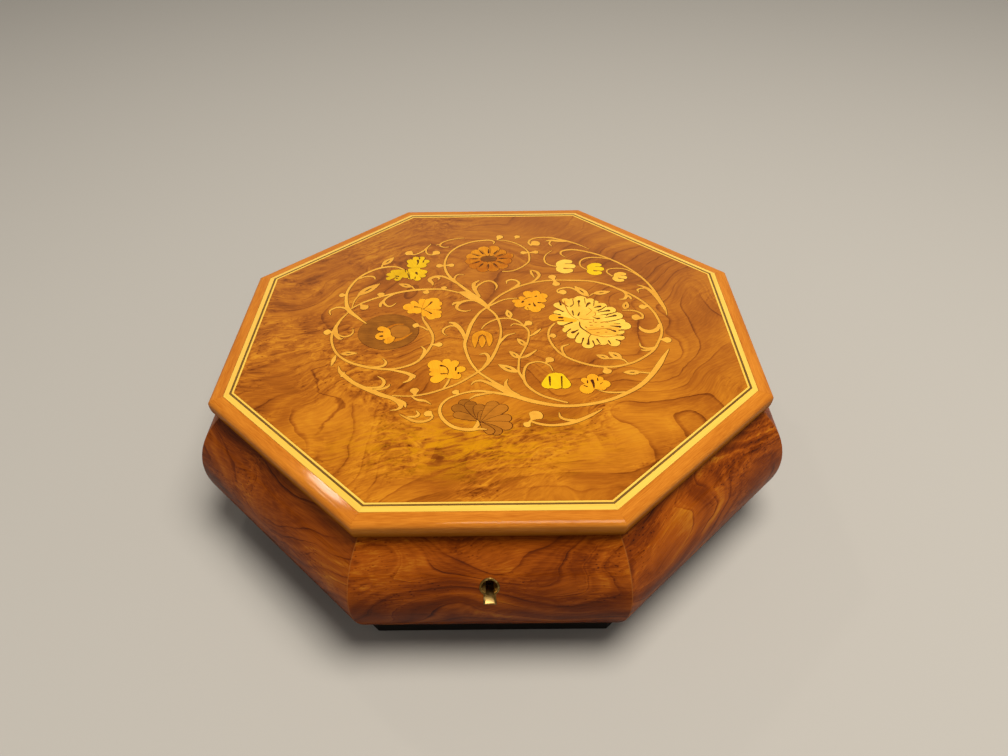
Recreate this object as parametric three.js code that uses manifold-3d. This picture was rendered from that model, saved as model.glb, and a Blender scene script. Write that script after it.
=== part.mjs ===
// An eight-sided inlaid music box. Eight bulging wall staves stand on a recessed base board, and a flat lid
// edged with a rounded moulding rests on their rim. A banding of light and dark strips frames the lid's veneer,
// and a brass-lined keyhole in the front stave leads to a lock let into the wood behind it.
// Millimetres, +Z up. The origin is the middle of the underside, and the keyhole faces -Y.
import * as THREE from "three";
import { mergeVertices } from "three/addons/utils/BufferGeometryUtils.js";
import Module from "manifold-3d";

const wasm = await Module();
wasm.setup();

// The sides from the front round, anticlockwise seen from above, each turned an equal step from the last.
const sideNames = ["front", "front_right", "right", "back_right", "back", "back_left", "left", "front_left"];
const sides = sideNames.length;

// Case
const rimAcrossFlats = 281; // over the outside of the rim, under the lid
const rimCover = 2.2; // wood left outside the lock at the rim, where a stave is thinnest
const wallHeight = 64;
const wallBulge = 15.2; // how far a stave's middle stands out beyond its rim
const baseThickness = 11.4;
const baseInset = 2.5; // the base board stands back from the staves' foot
const arcSteps = 22;

// Lid
const lidThickness = 12;
const lidOverhang = 4.5; // of the moulding's nose beyond the rim
const mouldingWidth = 7; // from the banding to the nose
const mouldingFlat = 3.6; // the moulding's flat top, before it rounds over
const mouldingNoseDrop = 3.4; // from the lid's top down to the nose
const mouldingFoot = 3; // the moulding's flat underside
const mouldingSteps = 8;
const veneerThickness = 1;
const wideBandWidth = 3.4;
const darkLineWidth = 1.1;
const lightLineWidth = 1.1;
const lipDepth = 3; // the lid board's step that drops into the case
const lipClearance = 1;

// Keyhole, its brass liner and the lock
const keyholeBelowRim = 20.3; // from the rim down to the round part's middle
const keyholeRadius = 3.7;
const keyholeDrop = 9.2; // from the round part's middle down to the slot's foot
const keyholeNeck = 3.7; // the slot's width where it leaves the round part
const keyholeFootWidth = 4.2;
const linerWall = 0.9;
const linerDepth = 9; // at the round part's middle
const linerProud = 0.3; // how far the liner's face stands out of the veneer
const lockWidth = 36;
const lockThickness = 6;
const lockBelowKeyhole = 5; // how far the lock's case reaches below the keyhole's foot
const lockBack = 1.5; // the case's back, behind the key's pocket
const keyholeSteps = 20;

// Fits
const seatGap = 0.3; // between pieces that rest on each other
const glueLine = 0.1; // between pieces glued edge to edge
const cutPast = 2; // how far a cutting plug runs beyond what it cuts

// What follows from them
const sideTurn = (2 * Math.PI) / sides;
const flatToCorner = 1 / Math.cos(sideTurn / 2);
const rimOut = rimAcrossFlats / 2;
const rimIn = rimOut - rimCover - seatGap - lockThickness;
const bulgeOut = rimOut + wallBulge;
const wallFoot = baseThickness + seatGap;
const wallTop = wallFoot + wallHeight;
const wallMiddle = wallFoot + wallHeight / 2;
const bulgeRadius = wallHeight ** 2 / (8 * wallBulge) + wallBulge / 2;
const bulgeCentreOut = bulgeOut - bulgeRadius;
const bulgeReach = Math.asin(wallHeight / 2 / bulgeRadius);
const keyholeHeight = wallTop - keyholeBelowRim;
const lockFace = rimIn + lockThickness;
const lockHeight = keyholeBelowRim + keyholeDrop + lockBelowKeyhole;
const lidFoot = wallTop + seatGap;
const lidTop = lidFoot + lidThickness;
const noseOut = rimOut + lidOverhang;
const bandOut = noseOut - mouldingWidth;
const boardTop = lidTop - veneerThickness;

const lacquered = (color) => new THREE.MeshStandardMaterial({ color, roughness: 0.18, metalness: 0 });
const finishes = {
  burl: lacquered("#8a4a1e"),
  field: lacquered("#b06a26"),
  moulding: lacquered("#b8671f"),
  maple: lacquered("#eab04a"),
  dark: lacquered("#3a2410"),
  base: new THREE.MeshStandardMaterial({ color: "#14110f", roughness: 0.6, metalness: 0 }),
  board: new THREE.MeshStandardMaterial({ color: "#9a6a3c", roughness: 0.5, metalness: 0 }),
  brass: new THREE.MeshStandardMaterial({ color: "#c9a85c", roughness: 0.3, metalness: 1 }),
};

const box = new THREE.Group();

function place(name, geometry, material, turn = 0) {
  const mesh = new THREE.Mesh(geometry, material);
  mesh.name = name;
  mesh.rotation.z = turn;
  box.add(mesh);
}

// A point of a cross-section: how far out from the box's middle axis, measured square to a side, and how high.
const at = (out, up) => new THREE.Vector2(out, up);

// An eight-sided solid turned about the box's axis from a section that starts and ends on the axis.
function octagonSolid(section) {
  const corners = section.map((p) => new THREE.Vector2(p.x * flatToCorner, p.y));
  return new THREE.LatheGeometry(corners, sides, sideTurn / 2).rotateX(Math.PI / 2);
}

// A bar along the front side with this section, its ends mitred to meet the next sides at a glue line.
function mitredBar(section) {
  const bar = new THREE.ExtrudeGeometry(new THREE.Shape(section), { depth: 2, bevelEnabled: false });
  bar.translate(0, 0, -1);
  const position = bar.getAttribute("position");
  const endGap = (glueLine / 2) * flatToCorner;
  for (let i = 0; i < position.count; i++) {
    const out = position.getX(i);
    const up = position.getY(i);
    const end = position.getZ(i);
    const half = out * Math.tan(sideTurn / 2) - endGap;
    position.setXYZ(i, -end * half, -out, up);
  }
  return bar;
}

// A stave's section: flat inside, and outside an arc of a circle from foot to rim, pushed out by grow.
function staveSection(grow = 0) {
  const points = [at(rimIn, wallFoot)];
  for (let i = 0; i <= arcSteps; i++) {
    const angle = bulgeReach * ((2 * i) / arcSteps - 1);
    const out = bulgeCentreOut + bulgeRadius * Math.cos(angle) + grow;
    points.push(at(out, wallMiddle + bulgeRadius * Math.sin(angle)));
  }
  points.push(at(rimIn, wallTop));
  return points;
}

// The moulding's section: a flat top, a short round over to the nose, and a long curve under to the flat foot.
function mouldingSection() {
  const overWidth = mouldingWidth - mouldingFlat;
  const underWidth = mouldingWidth - mouldingFoot;
  const underHeight = lidThickness - mouldingNoseDrop;
  const inner = bandOut + glueLine;
  const points = [at(inner, lidTop), at(inner, lidFoot)];
  for (let i = 0; i <= mouldingSteps; i++) {
    const angle = ((Math.PI / 2) * i) / mouldingSteps;
    const out = bandOut + mouldingFoot + underWidth * Math.sin(angle);
    points.push(at(out, lidFoot + underHeight * (1 - Math.cos(angle))));
  }
  for (let i = 1; i <= mouldingSteps; i++) {
    const angle = ((Math.PI / 2) * i) / mouldingSteps;
    const out = bandOut + mouldingFlat + overWidth * Math.cos(angle);
    points.push(at(out, lidTop - mouldingNoseDrop * (1 - Math.sin(angle))));
  }
  return points;
}

// A flat strip of the lid's top layer between two distances from the axis.
const stripSection = (inner, outer) => [
  at(inner, boardTop + glueLine),
  at(outer - glueLine, boardTop + glueLine),
  at(outer - glueLine, lidTop),
  at(inner, lidTop),
];

// The keyhole's outline, drawn in x and z about its round part, pushed out by grow.
function keyholeOutline(grow) {
  const radius = keyholeRadius + grow;
  const neck = keyholeNeck / 2 + grow;
  const foot = keyholeFootWidth / 2 + grow;
  const start = -Math.acos(neck / radius);
  const outline = new THREE.Shape();
  outline.absarc(0, 0, radius, start, Math.PI - start, false);
  outline.lineTo(-foot, -keyholeDrop - grow);
  outline.lineTo(foot, -keyholeDrop - grow);
  outline.closePath();
  return outline;
}

// A keyhole-shaped plug from one distance out to another.
function keyholePlug(grow, outFrom, outTo) {
  const plug = new THREE.ExtrudeGeometry(keyholeOutline(grow), {
    depth: outTo - outFrom,
    bevelEnabled: false,
    curveSegments: keyholeSteps,
  });
  return plug.rotateX(Math.PI / 2).translate(0, -outFrom, keyholeHeight);
}

function toSolid(geometry) {
  const bare = geometry.clone();
  bare.deleteAttribute("normal");
  bare.deleteAttribute("uv");
  const merged = mergeVertices(bare, 1e-4);
  const vertProperties = merged.getAttribute("position").array;
  return new wasm.Manifold(new wasm.Mesh({ numProp: 3, vertProperties, triVerts: merged.index.array }));
}

function toGeometry(solid) {
  const mesh = solid.getMesh();
  const geometry = new THREE.BufferGeometry();
  geometry.setAttribute("position", new THREE.BufferAttribute(mesh.vertProperties, 3));
  geometry.setIndex(new THREE.BufferAttribute(mesh.triVerts, 1));
  return geometry;
}

const boxSolid = (width, depth, height, out, up) =>
  toSolid(new THREE.BoxGeometry(width, depth, height).translate(0, -out, up));

// The front stave, with a pocket for the lock open to the rim and the inside, and the keyhole through to it.
function frontStave() {
  const stave = toSolid(mitredBar(staveSection()));
  const pocketWidth = lockWidth + 2 * seatGap;
  const pocketDepth = lockThickness + seatGap;
  const pocketHeight = lockHeight + 2 * seatGap;
  const pocket = boxSolid(pocketWidth, 2 * pocketDepth, 2 * pocketHeight, rimIn, wallTop);
  const keyway = toSolid(keyholePlug(linerWall + glueLine, rimIn, bulgeOut + cutPast));
  return toGeometry(stave.subtract(pocket).subtract(keyway));
}

// The brass liner: a keyhole-shaped tube whose face follows the bulge of the stave.
function keyholeLiner() {
  const faceOut = bulgeCentreOut + Math.sqrt(bulgeRadius ** 2 - (keyholeHeight - wallMiddle) ** 2);
  const linerEnd = faceOut - linerDepth;
  const plug = toSolid(keyholePlug(linerWall, linerEnd, bulgeOut + cutPast));
  const hole = toSolid(keyholePlug(0, linerEnd - cutPast, bulgeOut + 2 * cutPast));
  const trimmedTo = toSolid(mitredBar(staveSection(linerProud)));
  return toGeometry(plug.subtract(hole).intersect(trimmedTo));
}

// The lock's case, let in flush with the inside, with the key's pocket in its face.
function lockCase() {
  const middleOut = (rimIn + lockFace) / 2;
  const middleUp = wallTop - seatGap - lockHeight / 2;
  const block = boxSolid(lockWidth, lockThickness, lockHeight, middleOut, middleUp);
  const keyPocket = toSolid(keyholePlug(0, rimIn + lockBack, lockFace + cutPast));
  return toGeometry(block.subtract(keyPocket));
}

// Base board under the staves
const baseOut = rimOut - baseInset;
const baseSection = [at(0, 0), at(baseOut, 0), at(baseOut, baseThickness), at(0, baseThickness)];
place("base_board", octagonSolid(baseSection), finishes.base);

// Lid board, with the step under it that drops between the staves
const lipOut = rimIn - lipClearance;
const lipFoot = lidFoot - lipDepth;
const boardSection = [
  at(0, lipFoot),
  at(lipOut, lipFoot),
  at(lipOut, lidFoot),
  at(bandOut, lidFoot),
  at(bandOut, boardTop),
  at(0, boardTop),
];
place("lid_board", octagonSolid(boardSection), finishes.board);

// The lid's top layer: wide band, dark line and light line, mitred at the corners, round the veneer
const darkOut = bandOut - wideBandWidth;
const lightOut = darkOut - darkLineWidth;
const fieldOut = lightOut - lightLineWidth;
place("lid_veneer", octagonSolid(stripSection(0, fieldOut)), finishes.field);

sideNames.forEach((side, i) => {
  const turn = i * sideTurn;
  const stave = i === 0 ? frontStave() : mitredBar(staveSection());
  place(`wall_${side}`, stave, finishes.burl, turn);
  place(`lid_moulding_${side}`, mitredBar(mouldingSection()), finishes.moulding, turn);
  place(`lid_wide_band_${side}`, mitredBar(stripSection(darkOut, bandOut)), finishes.maple, turn);
  place(`lid_dark_line_${side}`, mitredBar(stripSection(lightOut, darkOut)), finishes.dark, turn);
  place(`lid_light_line_${side}`, mitredBar(stripSection(fieldOut, lightOut)), finishes.maple, turn);
});

place("keyhole_liner", keyholeLiner(), finishes.brass);
place("lock_case", lockCase(), finishes.brass);

export default box;
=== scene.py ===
"""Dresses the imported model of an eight-sided inlaid music box.

Eight bulging staves veneered in burl stand on a black base board. The flat lid has a mahogany moulding, a
banding of light and dark strips, and a figured veneer with a round inlaid picture of scrolls and flowers. A
brass-lined keyhole in the front stave leads to the lock. Metres, +Z up, with the keyhole facing -Y.
"""

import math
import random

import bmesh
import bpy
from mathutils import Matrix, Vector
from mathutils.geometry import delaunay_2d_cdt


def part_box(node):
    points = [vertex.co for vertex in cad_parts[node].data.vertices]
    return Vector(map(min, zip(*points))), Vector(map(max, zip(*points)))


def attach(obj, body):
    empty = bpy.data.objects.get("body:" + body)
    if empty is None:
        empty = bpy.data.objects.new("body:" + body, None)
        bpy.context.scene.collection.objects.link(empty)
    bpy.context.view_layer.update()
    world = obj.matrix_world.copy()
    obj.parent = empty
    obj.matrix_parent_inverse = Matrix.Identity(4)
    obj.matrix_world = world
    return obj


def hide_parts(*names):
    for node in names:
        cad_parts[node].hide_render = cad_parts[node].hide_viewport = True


bl_info = {
    "name": "Inlaid Music Box",
    "version": (1, 0, 0),
    "blender": (4, 5, 0),
    "location": "View3D > Sidebar > Music Box",
    "description": "Builds the veneered case, the moulded lid and the inlaid picture of a music box",
    "category": "Add Mesh",
}

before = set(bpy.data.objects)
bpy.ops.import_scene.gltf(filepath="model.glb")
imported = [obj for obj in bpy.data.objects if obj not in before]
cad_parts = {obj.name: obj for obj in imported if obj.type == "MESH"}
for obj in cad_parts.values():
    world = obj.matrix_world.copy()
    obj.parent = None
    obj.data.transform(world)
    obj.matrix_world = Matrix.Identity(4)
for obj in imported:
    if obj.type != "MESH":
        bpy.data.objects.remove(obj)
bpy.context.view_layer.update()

MM = 0.001
SIDES = ("front", "front_right", "right", "back_right", "back", "back_left", "left", "front_left")
TURN = math.tau / len(SIDES)
SLOPE = math.tan(TURN / 2)  # half a side's length for each unit out from the axis
SAME = 1e-6  # metres within which two heights are the same


def linear(code):
    """A colour such as #c9a85c, written as screens show it, as the linear values that shaders use."""
    channels = [int(code[i : i + 2], 16) / 255 for i in (1, 3, 5)]
    return tuple(c / 12.92 if c <= 0.04045 else ((c + 0.055) / 1.055) ** 2.4 for c in channels)


def all_round(node):
    """The names of the eight nodes of one kind, from the front round."""
    return [f"{node}_{side}" for side in SIDES]


def reach(node, height):
    """How far in and how far out from the axis a front node stands at a height."""
    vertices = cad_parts[node].data.vertices
    outs = [-v.co.y for v in vertices if abs(v.co.z - height) < SAME]
    return min(outs), max(outs)


def size(name, default, description):
    return bpy.props.FloatProperty(
        name=name, description=description, default=default, min=0, precision=5, unit="LENGTH"
    )


def count(name, default, description):
    return bpy.props.IntProperty(name=name, description=description, default=default, min=1)


def colour(name, code, description):
    return bpy.props.FloatVectorProperty(
        name=name, description=description, default=linear(code), size=3, min=0, max=1, subtype="COLOR"
    )


# What the frame says of the case and the lid

wall_low, wall_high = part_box("wall_front")
mould_low, mould_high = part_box("lid_moulding_front")
liner_low, liner_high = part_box("keyhole_liner")
lock_low, lock_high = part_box("lock_case")
base_low, base_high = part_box("base_board")
nose_height = min(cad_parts["lid_moulding_front"].data.vertices, key=lambda v: v.co.y).co.z
rim_reach = reach("wall_front", wall_high[2])[1]
flat_reach = reach("lid_moulding_front", mould_high[2])[1]
foot_reach = reach("lid_moulding_front", mould_low[2])[1]


class MUSICBOX_PG_case(bpy.types.PropertyGroup):
    rim_out: size("Rim", rim_reach, "From the axis to the staves' outside at the rim")
    rim_in: size("Inside", -wall_high[1], "From the axis to the staves' flat inside")
    bulge_out: size("Bulge", -wall_low[1], "From the axis to the staves' outside at half height")
    foot: size("Staves' foot", wall_low[2], "Height of the staves' lower edge")
    top: size("Staves' rim", wall_high[2], "Height of the staves' upper edge")
    edge_round: size("Edge rounding", 0.6 * MM, "Radius of a stave's edges at the foot and the rim")
    corner_round: size("Corner rounding", 1.6 * MM, "Radius of the case's eight upright corners")
    bulge_steps: count("Bulge steps", 44, "Faces over the height of a stave")
    corner_steps: count("Corner steps", 5, "Faces round half of a corner")
    joint: size("Mitre joint", 0.03 * MM, "Half the gap between two staves, filled by glue")
    base_out: size("Base board", -base_low[1], "From the axis to the base board's edge")
    base_top: size("Base board's top", base_high[2], "Height of the base board's upper face")
    base_bevel: size("Base bevel", 0.5 * MM, "Broken edge of the base board")


class MUSICBOX_PG_keyhole(bpy.types.PropertyGroup):
    wall: size("Liner wall", 0.9 * MM, "Thickness of the brass liner")
    lip: size("Liner lip", 0.25 * MM, "Rounding of the liner's face")
    neck: size("Slot neck", 3.7 * MM, "The slot's width where it leaves the round part")
    foot: size("Slot foot", 4.2 * MM, "The slot's width at its foot")
    proud: size("Liner face", 0.3 * MM, "How far the liner's face stands out of the veneer")
    fit: size("Liner fit", 0.05 * MM, "Gap between the liner and the wood")
    steps: count("Outline steps", 40, "Points round the round part of the keyhole")


class MUSICBOX_PG_lid(bpy.types.PropertyGroup):
    foot: size("Lid's foot", mould_low[2], "Height of the lid's underside")
    top: size("Lid's top", mould_high[2], "Height of the lid's top")
    nose_out: size("Nose", -mould_low[1], "From the axis to the moulding's nose")
    nose_height: size("Nose height", nose_height, "Height of the moulding's nose")
    mould_in: size("Moulding inside", -mould_high[1], "From the axis to the moulding's inner edge")
    flat_out: size("Moulding flat", flat_reach, "Outer edge of its flat top")
    foot_out: size("Moulding foot", foot_reach, "Outer edge of its flat foot")
    corner_round: size("Corner rounding", 1.2 * MM, "Radius of the moulding's eight corners")
    band_trim: size("Band trim", 0.5 * MM, "How far the moulding reaches in over the wide band")
    band_fall: size("Band fall", 0.6 * MM, "How far the wide band is sanded down at its outer edge")
    mould_fall: size("Moulding fall", 0.5 * MM, "How far the moulding's top falls from there to its rounding")
    mould_steps: count("Moulding steps", 14, "Faces round each curve of the moulding")
    corner_steps: count("Corner steps", 5, "Faces round half of a corner")
    joint: size("Glue joint", 0.02 * MM, "Half the gap between two pieces of wood")


class MUSICBOX_PG_inlay(bpy.types.PropertyGroup):
    joint: size("Joint", 0.24 * MM, "Width of the dark glue joint round an inlaid part")
    step: size("Step", 1.2 * MM, "Distance between the points along a vine")
    seed: count("Seed", 11, "Draws the tones of the inlaid parts")


class MUSICBOX_PG_finish(bpy.types.PropertyGroup):
    burl_dark: colour("Burl, dark", "#34140a", "Darkest figure of the case's veneer")
    burl: colour("Burl", "#783406", "Ground colour of the case's veneer")
    burl_light: colour("Burl, light", "#a4520e", "Light figure of the case's veneer")
    burl_glow: colour("Burl, lightest", "#c8801e", "Lightest figure of the case's veneer")
    seam: colour("Corner line", "#b87434", "Paler colour along each upright corner of the case")
    field_dark: colour("Lid veneer, dark", "#6e3408", "Darkest figure of the lid's veneer")
    field: colour("Lid veneer", "#a65e16", "Ground colour of the lid's veneer")
    field_light: colour("Lid veneer, light", "#c67c1e", "Light figure of the lid's veneer")
    field_glow: colour("Lid veneer, lightest", "#dc9826", "Lightest figure of the lid's veneer")
    field_back_and_reflection: colour("Lid veneer, back and reflection", "#965c30", "Redder, greyer veneer at the back, partly a painted reflection")
    field_flame: colour("Lid veneer, flame", "#d2900c", "Golden flame at the lid's front edge")
    mahogany: colour("Mahogany", "#e29232", "Light streaks of the moulding")
    mahogany_dark: colour("Mahogany, dark", "#b06018", "Dark streaks and pores of the moulding")
    mahogany_painted_shade: colour("Mahogany, painted shade", "#3c1602", "Painted shade under the moulding's nose")
    banding: colour("Banding", "#fcd664", "Light streaks of the pale banding")
    banding_dark: colour("Banding, dark", "#eebc4a", "Dark streaks of the pale banding")
    line: colour("Dark line", "#8a6a38", "Light streaks of the dark line")
    line_dark: colour("Dark line, dark", "#5a3e1c", "Dark streaks of the dark line")
    maple: colour("Maple", "#f4bc4a", "Light tones of the scrolls")
    maple_dark: colour("Maple, dark", "#d28e2c", "Dark tones of the scrolls")
    yellow: colour("Dyed yellow", "#f8cc1a", "Light tones of the yellow flowers")
    yellow_dark: colour("Dyed yellow, dark", "#c8980c", "Dark tones of the yellow flowers")
    cream: colour("Boxwood", "#ffd65a", "Light tones of the cream flowers")
    cream_dark: colour("Boxwood, dark", "#eca42e", "Dark tones of the cream flowers")
    orange: colour("Dyed orange", "#fab024", "Light tones of the orange flowers")
    orange_dark: colour("Dyed orange, dark", "#b4640e", "Dark tones of the orange flowers")
    walnut: colour("Walnut", "#b87422", "Light tones of the dark parts")
    walnut_dark: colour("Walnut, dark", "#4a200c", "Dark tones of the dark parts, and the joints")
    black: colour("Near black", "#0b0a09", "Base board")
    black_worn: colour("Near black, worn", "#1c1815", "Grain that shows through the black")
    plain: colour("Plain wood", "#b08a58", "Board under the lid's veneer")
    plain_dark: colour("Plain wood, dark", "#8a683e", "Dark grain of that board")
    brass: colour("Brass", "#cdb070", "Rubbed brass of the keyhole liner")
    brass_dull: colour("Brass, dull", "#6e5528", "Tarnish in the brass")
    steel: colour("Lock", "#6a6258", "Rubbed iron of the lock case")
    steel_dull: colour("Lock, dull", "#2c2520", "Rust-brown iron of the lock case")
    floor: colour("Floor", "#bcbdbe", "Studio floor")


class MUSICBOX_PG_settings(bpy.types.PropertyGroup):
    case: bpy.props.PointerProperty(type=MUSICBOX_PG_case)
    keyhole: bpy.props.PointerProperty(type=MUSICBOX_PG_keyhole)
    lid: bpy.props.PointerProperty(type=MUSICBOX_PG_lid)
    inlay: bpy.props.PointerProperty(type=MUSICBOX_PG_inlay)
    finish: bpy.props.PointerProperty(type=MUSICBOX_PG_finish)


# Meshes


def new_piece(name, mesh):
    """An object of the scene with this mesh, at the origin."""
    piece = bpy.data.objects.new(name, mesh)
    bpy.context.scene.collection.objects.link(piece)
    return piece


def mesh_from(name, points, faces):
    mesh = bpy.data.meshes.new(name)
    mesh.from_pydata(points, [], faces)
    mesh.update()
    return mesh


def shade(mesh, sharp_over=30):
    """Smooth shading, but for edges that turn by more than an angle in degrees."""
    mesh.shade_smooth()
    mesh.set_sharp_from_angle(angle=math.radians(sharp_over))


def evaluated_mesh(piece):
    """The plain mesh that a piece's modifiers give."""
    bpy.context.view_layer.update()
    graph = bpy.context.evaluated_depsgraph_get()
    return bpy.data.meshes.new_from_object(piece.evaluated_get(graph))


def settle(piece):
    """Keeps what a piece's modifiers make as its plain mesh, without the modifiers."""
    mesh = evaluated_mesh(piece)
    mesh.name = piece.name
    piece.modifiers.clear()
    piece.data = mesh


def cut(piece, cutter):
    """Cuts the cutter's shape out of a piece, and deletes the cutter."""
    boolean = piece.modifiers.new("cut", "BOOLEAN")
    boolean.operation = "DIFFERENCE"
    boolean.solver = "EXACT"
    boolean.object = cutter
    settle(piece)
    bpy.data.objects.remove(cutter)


def prism(name, outline, out_from, out_to):
    """A closed prism along Y with an outline in x and z, between two distances in front of the axis."""
    around = len(outline)
    points = [(x, -out, z) for out in (out_from, out_to) for x, z in outline]
    sides = [(i, (i + 1) % around, around + (i + 1) % around, around + i) for i in range(around)]
    ends = [tuple(reversed(range(around))), tuple(range(around, 2 * around))]
    return new_piece(name, mesh_from(name, points, sides + ends))


def quarter(centre, radius_out, radius_up, start, steps):
    """Section points round a quarter of an ellipse, from a start angle in quarter turns anticlockwise."""
    angles = [(start + i / steps) * math.pi / 2 for i in range(steps + 1)]
    return [(centre[0] + radius_out * math.cos(a), centre[1] + radius_up * math.sin(a)) for a in angles]


def mitred_bar(name, section, joint, corner_round=0, soft_from=0, corner_steps=4, stations=(-1, 1)):
    """A closed bar along the front side, with ends mitred to meet the next sides.

    The section's points are (out, up), anticlockwise as seen from the bar's right end. Those that stand
    further out than soft_from have their corners rounded. The UV map "grain" runs in millimetres along the
    bar and round the section, and the attribute "mitre" holds the millimetres to the nearer end.
    """
    joint_along = joint / math.cos(TURN / 2)
    angles = [TURN / 2 * i / corner_steps for i in range(1, corner_steps + 1)] if corner_round else []
    places = [(-1, a) for a in reversed(angles)] + [(s, 0) for s in stations] + [(1, a) for a in angles]
    run = [0.0]
    for (out_a, up_a), (out_b, up_b) in zip(section, section[1:]):
        run.append(run[-1] + math.dist((out_a, up_a), (out_b, up_b)))
    points = []
    mitres = []
    for station, angle in places:
        for out, up in section:
            radius = corner_round if out > soft_from else 0
            straight = (out - radius) * SLOPE - joint_along
            x = station * straight + math.copysign(radius * math.sin(angle), station)
            if angle and not radius:
                x = station * straight
            points.append((x, -(out - radius * (1 - math.cos(angle))), up))
            mitres.append((out * SLOPE - abs(x)) / MM)
    around = len(section)
    faces = []
    for ring in range(len(places) - 1):
        for i in range(around):
            near, far = ring * around, (ring + 1) * around
            after = (i + 1) % around
            faces.append((near + i, far + i, far + after, near + after))
    last = (len(places) - 1) * around
    faces.append(tuple(range(around)))
    faces.append(tuple(last + i for i in reversed(range(around))))
    mesh = mesh_from(name, points, faces)
    grain = mesh.uv_layers.new(name="grain")
    closing = run[-1] + math.dist(section[-1], section[0])
    for face in mesh.polygons:
        indices = [mesh.loops[i].vertex_index % around for i in face.loop_indices]
        wraps = len(indices) == 4 and 0 in indices and around - 1 in indices
        for i, point in zip(face.loop_indices, indices):
            along = mesh.vertices[mesh.loops[i].vertex_index].co.x
            across = closing if wraps and point == 0 else run[point]
            grain.data[i].uv = (along / MM, across / MM)
    mesh.attributes.new("mitre", "FLOAT", "POINT").data.foreach_set("value", mitres)
    weld(mesh)
    shade(mesh)
    return mesh


def weld(mesh):
    """Merges points that fall together, as at a rounded corner's inside, and turns the faces outwards."""
    body = bmesh.new()
    body.from_mesh(mesh)
    bmesh.ops.remove_doubles(body, verts=body.verts, dist=SAME)
    bmesh.ops.recalc_face_normals(body, faces=body.faces)
    body.to_mesh(mesh)
    body.free()


# Node trees


def add(tree, kind, inputs=(), stops=(), **settings):
    """Adds a node with its settings, colour stops, and a value or a link for each named or numbered input."""
    node = tree.nodes.new(kind)
    for name, value in settings.items():
        setattr(node, name, value)
    for i, (position, tint) in enumerate(stops):
        element = node.color_ramp.elements[i] if i < 2 else node.color_ramp.elements.new(position)
        element.position = position
        element.color = (*tint, 1)
    for key, value in dict(inputs).items():
        if isinstance(value, bpy.types.NodeSocket):
            tree.links.new(value, node.inputs[key])
        else:
            node.inputs[key].default_value = value
    return node


def maths(tree, operation, *values):
    """The result of a Math node."""
    return add(tree, "ShaderNodeMath", dict(enumerate(values)), operation=operation).outputs[0]


def ranged(tree, value, low=0, high=1, at_low=0, at_high=1):
    """A value brought from one range to another, and held at its ends."""
    ends = {"Value": value, "From Min": low, "From Max": high, "To Min": at_low, "To Max": at_high}
    return add(tree, "ShaderNodeMapRange", ends).outputs[0]


def noise(tree, place, scale, detail):
    return add(tree, "ShaderNodeTexNoise", {"Vector": place, "Scale": scale, "Detail": detail}).outputs[0]


def scaled(tree, place, scale):
    return add(tree, "ShaderNodeMapping", {"Vector": place, "Scale": scale}).outputs[0]


def rotated(tree, place, degrees):
    """A place turned about Z."""
    return add(tree, "ShaderNodeVectorRotate", {"Vector": place, "Angle": math.radians(degrees)}).outputs[0]


def ramp(tree, share, stops):
    """The colour that a ramp has at a share."""
    return add(tree, "ShaderNodeValToRGB", {"Fac": share}, stops).outputs[0]


def mixed(tree, share, under, over):
    """A colour, with a share of a plain colour over it."""
    return add(tree, "ShaderNodeMix", {0: share, 6: under, 7: (*over, 1)}, data_type="RGBA").outputs[2]


def ring_tree():
    """Geometry Nodes that set a bar round the box's axis, once for each side, and mark each with its side."""
    tree = bpy.data.node_groups.new("sides_round_the_axis", "GeometryNodeTree")
    faces = tree.interface
    faces.new_socket("Bar", in_out="INPUT", socket_type="NodeSocketGeometry")
    faces.new_socket("Bars", in_out="INPUT", socket_type="NodeSocketInt")
    faces.new_socket("First side", in_out="INPUT", socket_type="NodeSocketInt")
    faces.new_socket("Turn", in_out="INPUT", socket_type="NodeSocketFloat")
    faces.new_socket("Finish", in_out="INPUT", socket_type="NodeSocketMaterial")
    faces.new_socket("Ring", in_out="OUTPUT", socket_type="NodeSocketGeometry")
    given = add(tree, "NodeGroupInput").outputs
    spots = add(tree, "GeometryNodePoints", {"Count": given["Bars"]})
    index = add(tree, "GeometryNodeInputIndex")
    side = add(tree, "ShaderNodeMath", {0: index.outputs[0], 1: given["First side"]}, operation="ADD")
    angle = add(tree, "ShaderNodeMath", {0: side.outputs[0], 1: given["Turn"]}, operation="MULTIPLY")
    turned = add(tree, "ShaderNodeCombineXYZ", {"Z": angle.outputs[0]})
    bars = add(
        tree,
        "GeometryNodeInstanceOnPoints",
        {"Points": spots.outputs[0], "Instance": given["Bar"], "Rotation": turned.outputs[0]},
    )
    marked = add(
        tree,
        "GeometryNodeStoreNamedAttribute",
        {"Geometry": bars.outputs[0], "Name": "side", "Value": side.outputs[0]},
        domain="INSTANCE",
        data_type="FLOAT",
    )
    real = add(tree, "GeometryNodeRealizeInstances", {"Geometry": marked.outputs[0]})
    done = add(tree, "GeometryNodeSetMaterial", {"Geometry": real.outputs[0], "Material": given["Finish"]})
    add(tree, "NodeGroupOutput", {"Ring": done.outputs[0]})
    return tree


def ring_of(name, bar, finish, first=0):
    """A piece of like bars round the box, from the first side on."""
    bar.materials.append(finish)
    piece = new_piece(name, bar)
    modifier = piece.modifiers.new("sides", "NODES")
    modifier.node_group = bpy.data.node_groups.get("sides_round_the_axis") or ring_tree()
    values = {"Bars": len(SIDES) - first, "First side": first, "Turn": TURN, "Finish": finish}
    for item in modifier.node_group.interface.items_tree:
        if item.in_out == "INPUT" and item.name in values:
            modifier[item.identifier] = values[item.name]
    settle(piece)
    return piece


# Finishes. Each is clear lacquer over wood, but for the brass and the near-black base.


def principled(name):
    """A new material, its node tree and its Principled shader."""
    material = bpy.data.materials.new(name)
    material.use_nodes = True
    return material, material.node_tree, material.node_tree.nodes["Principled BSDF"]


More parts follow.
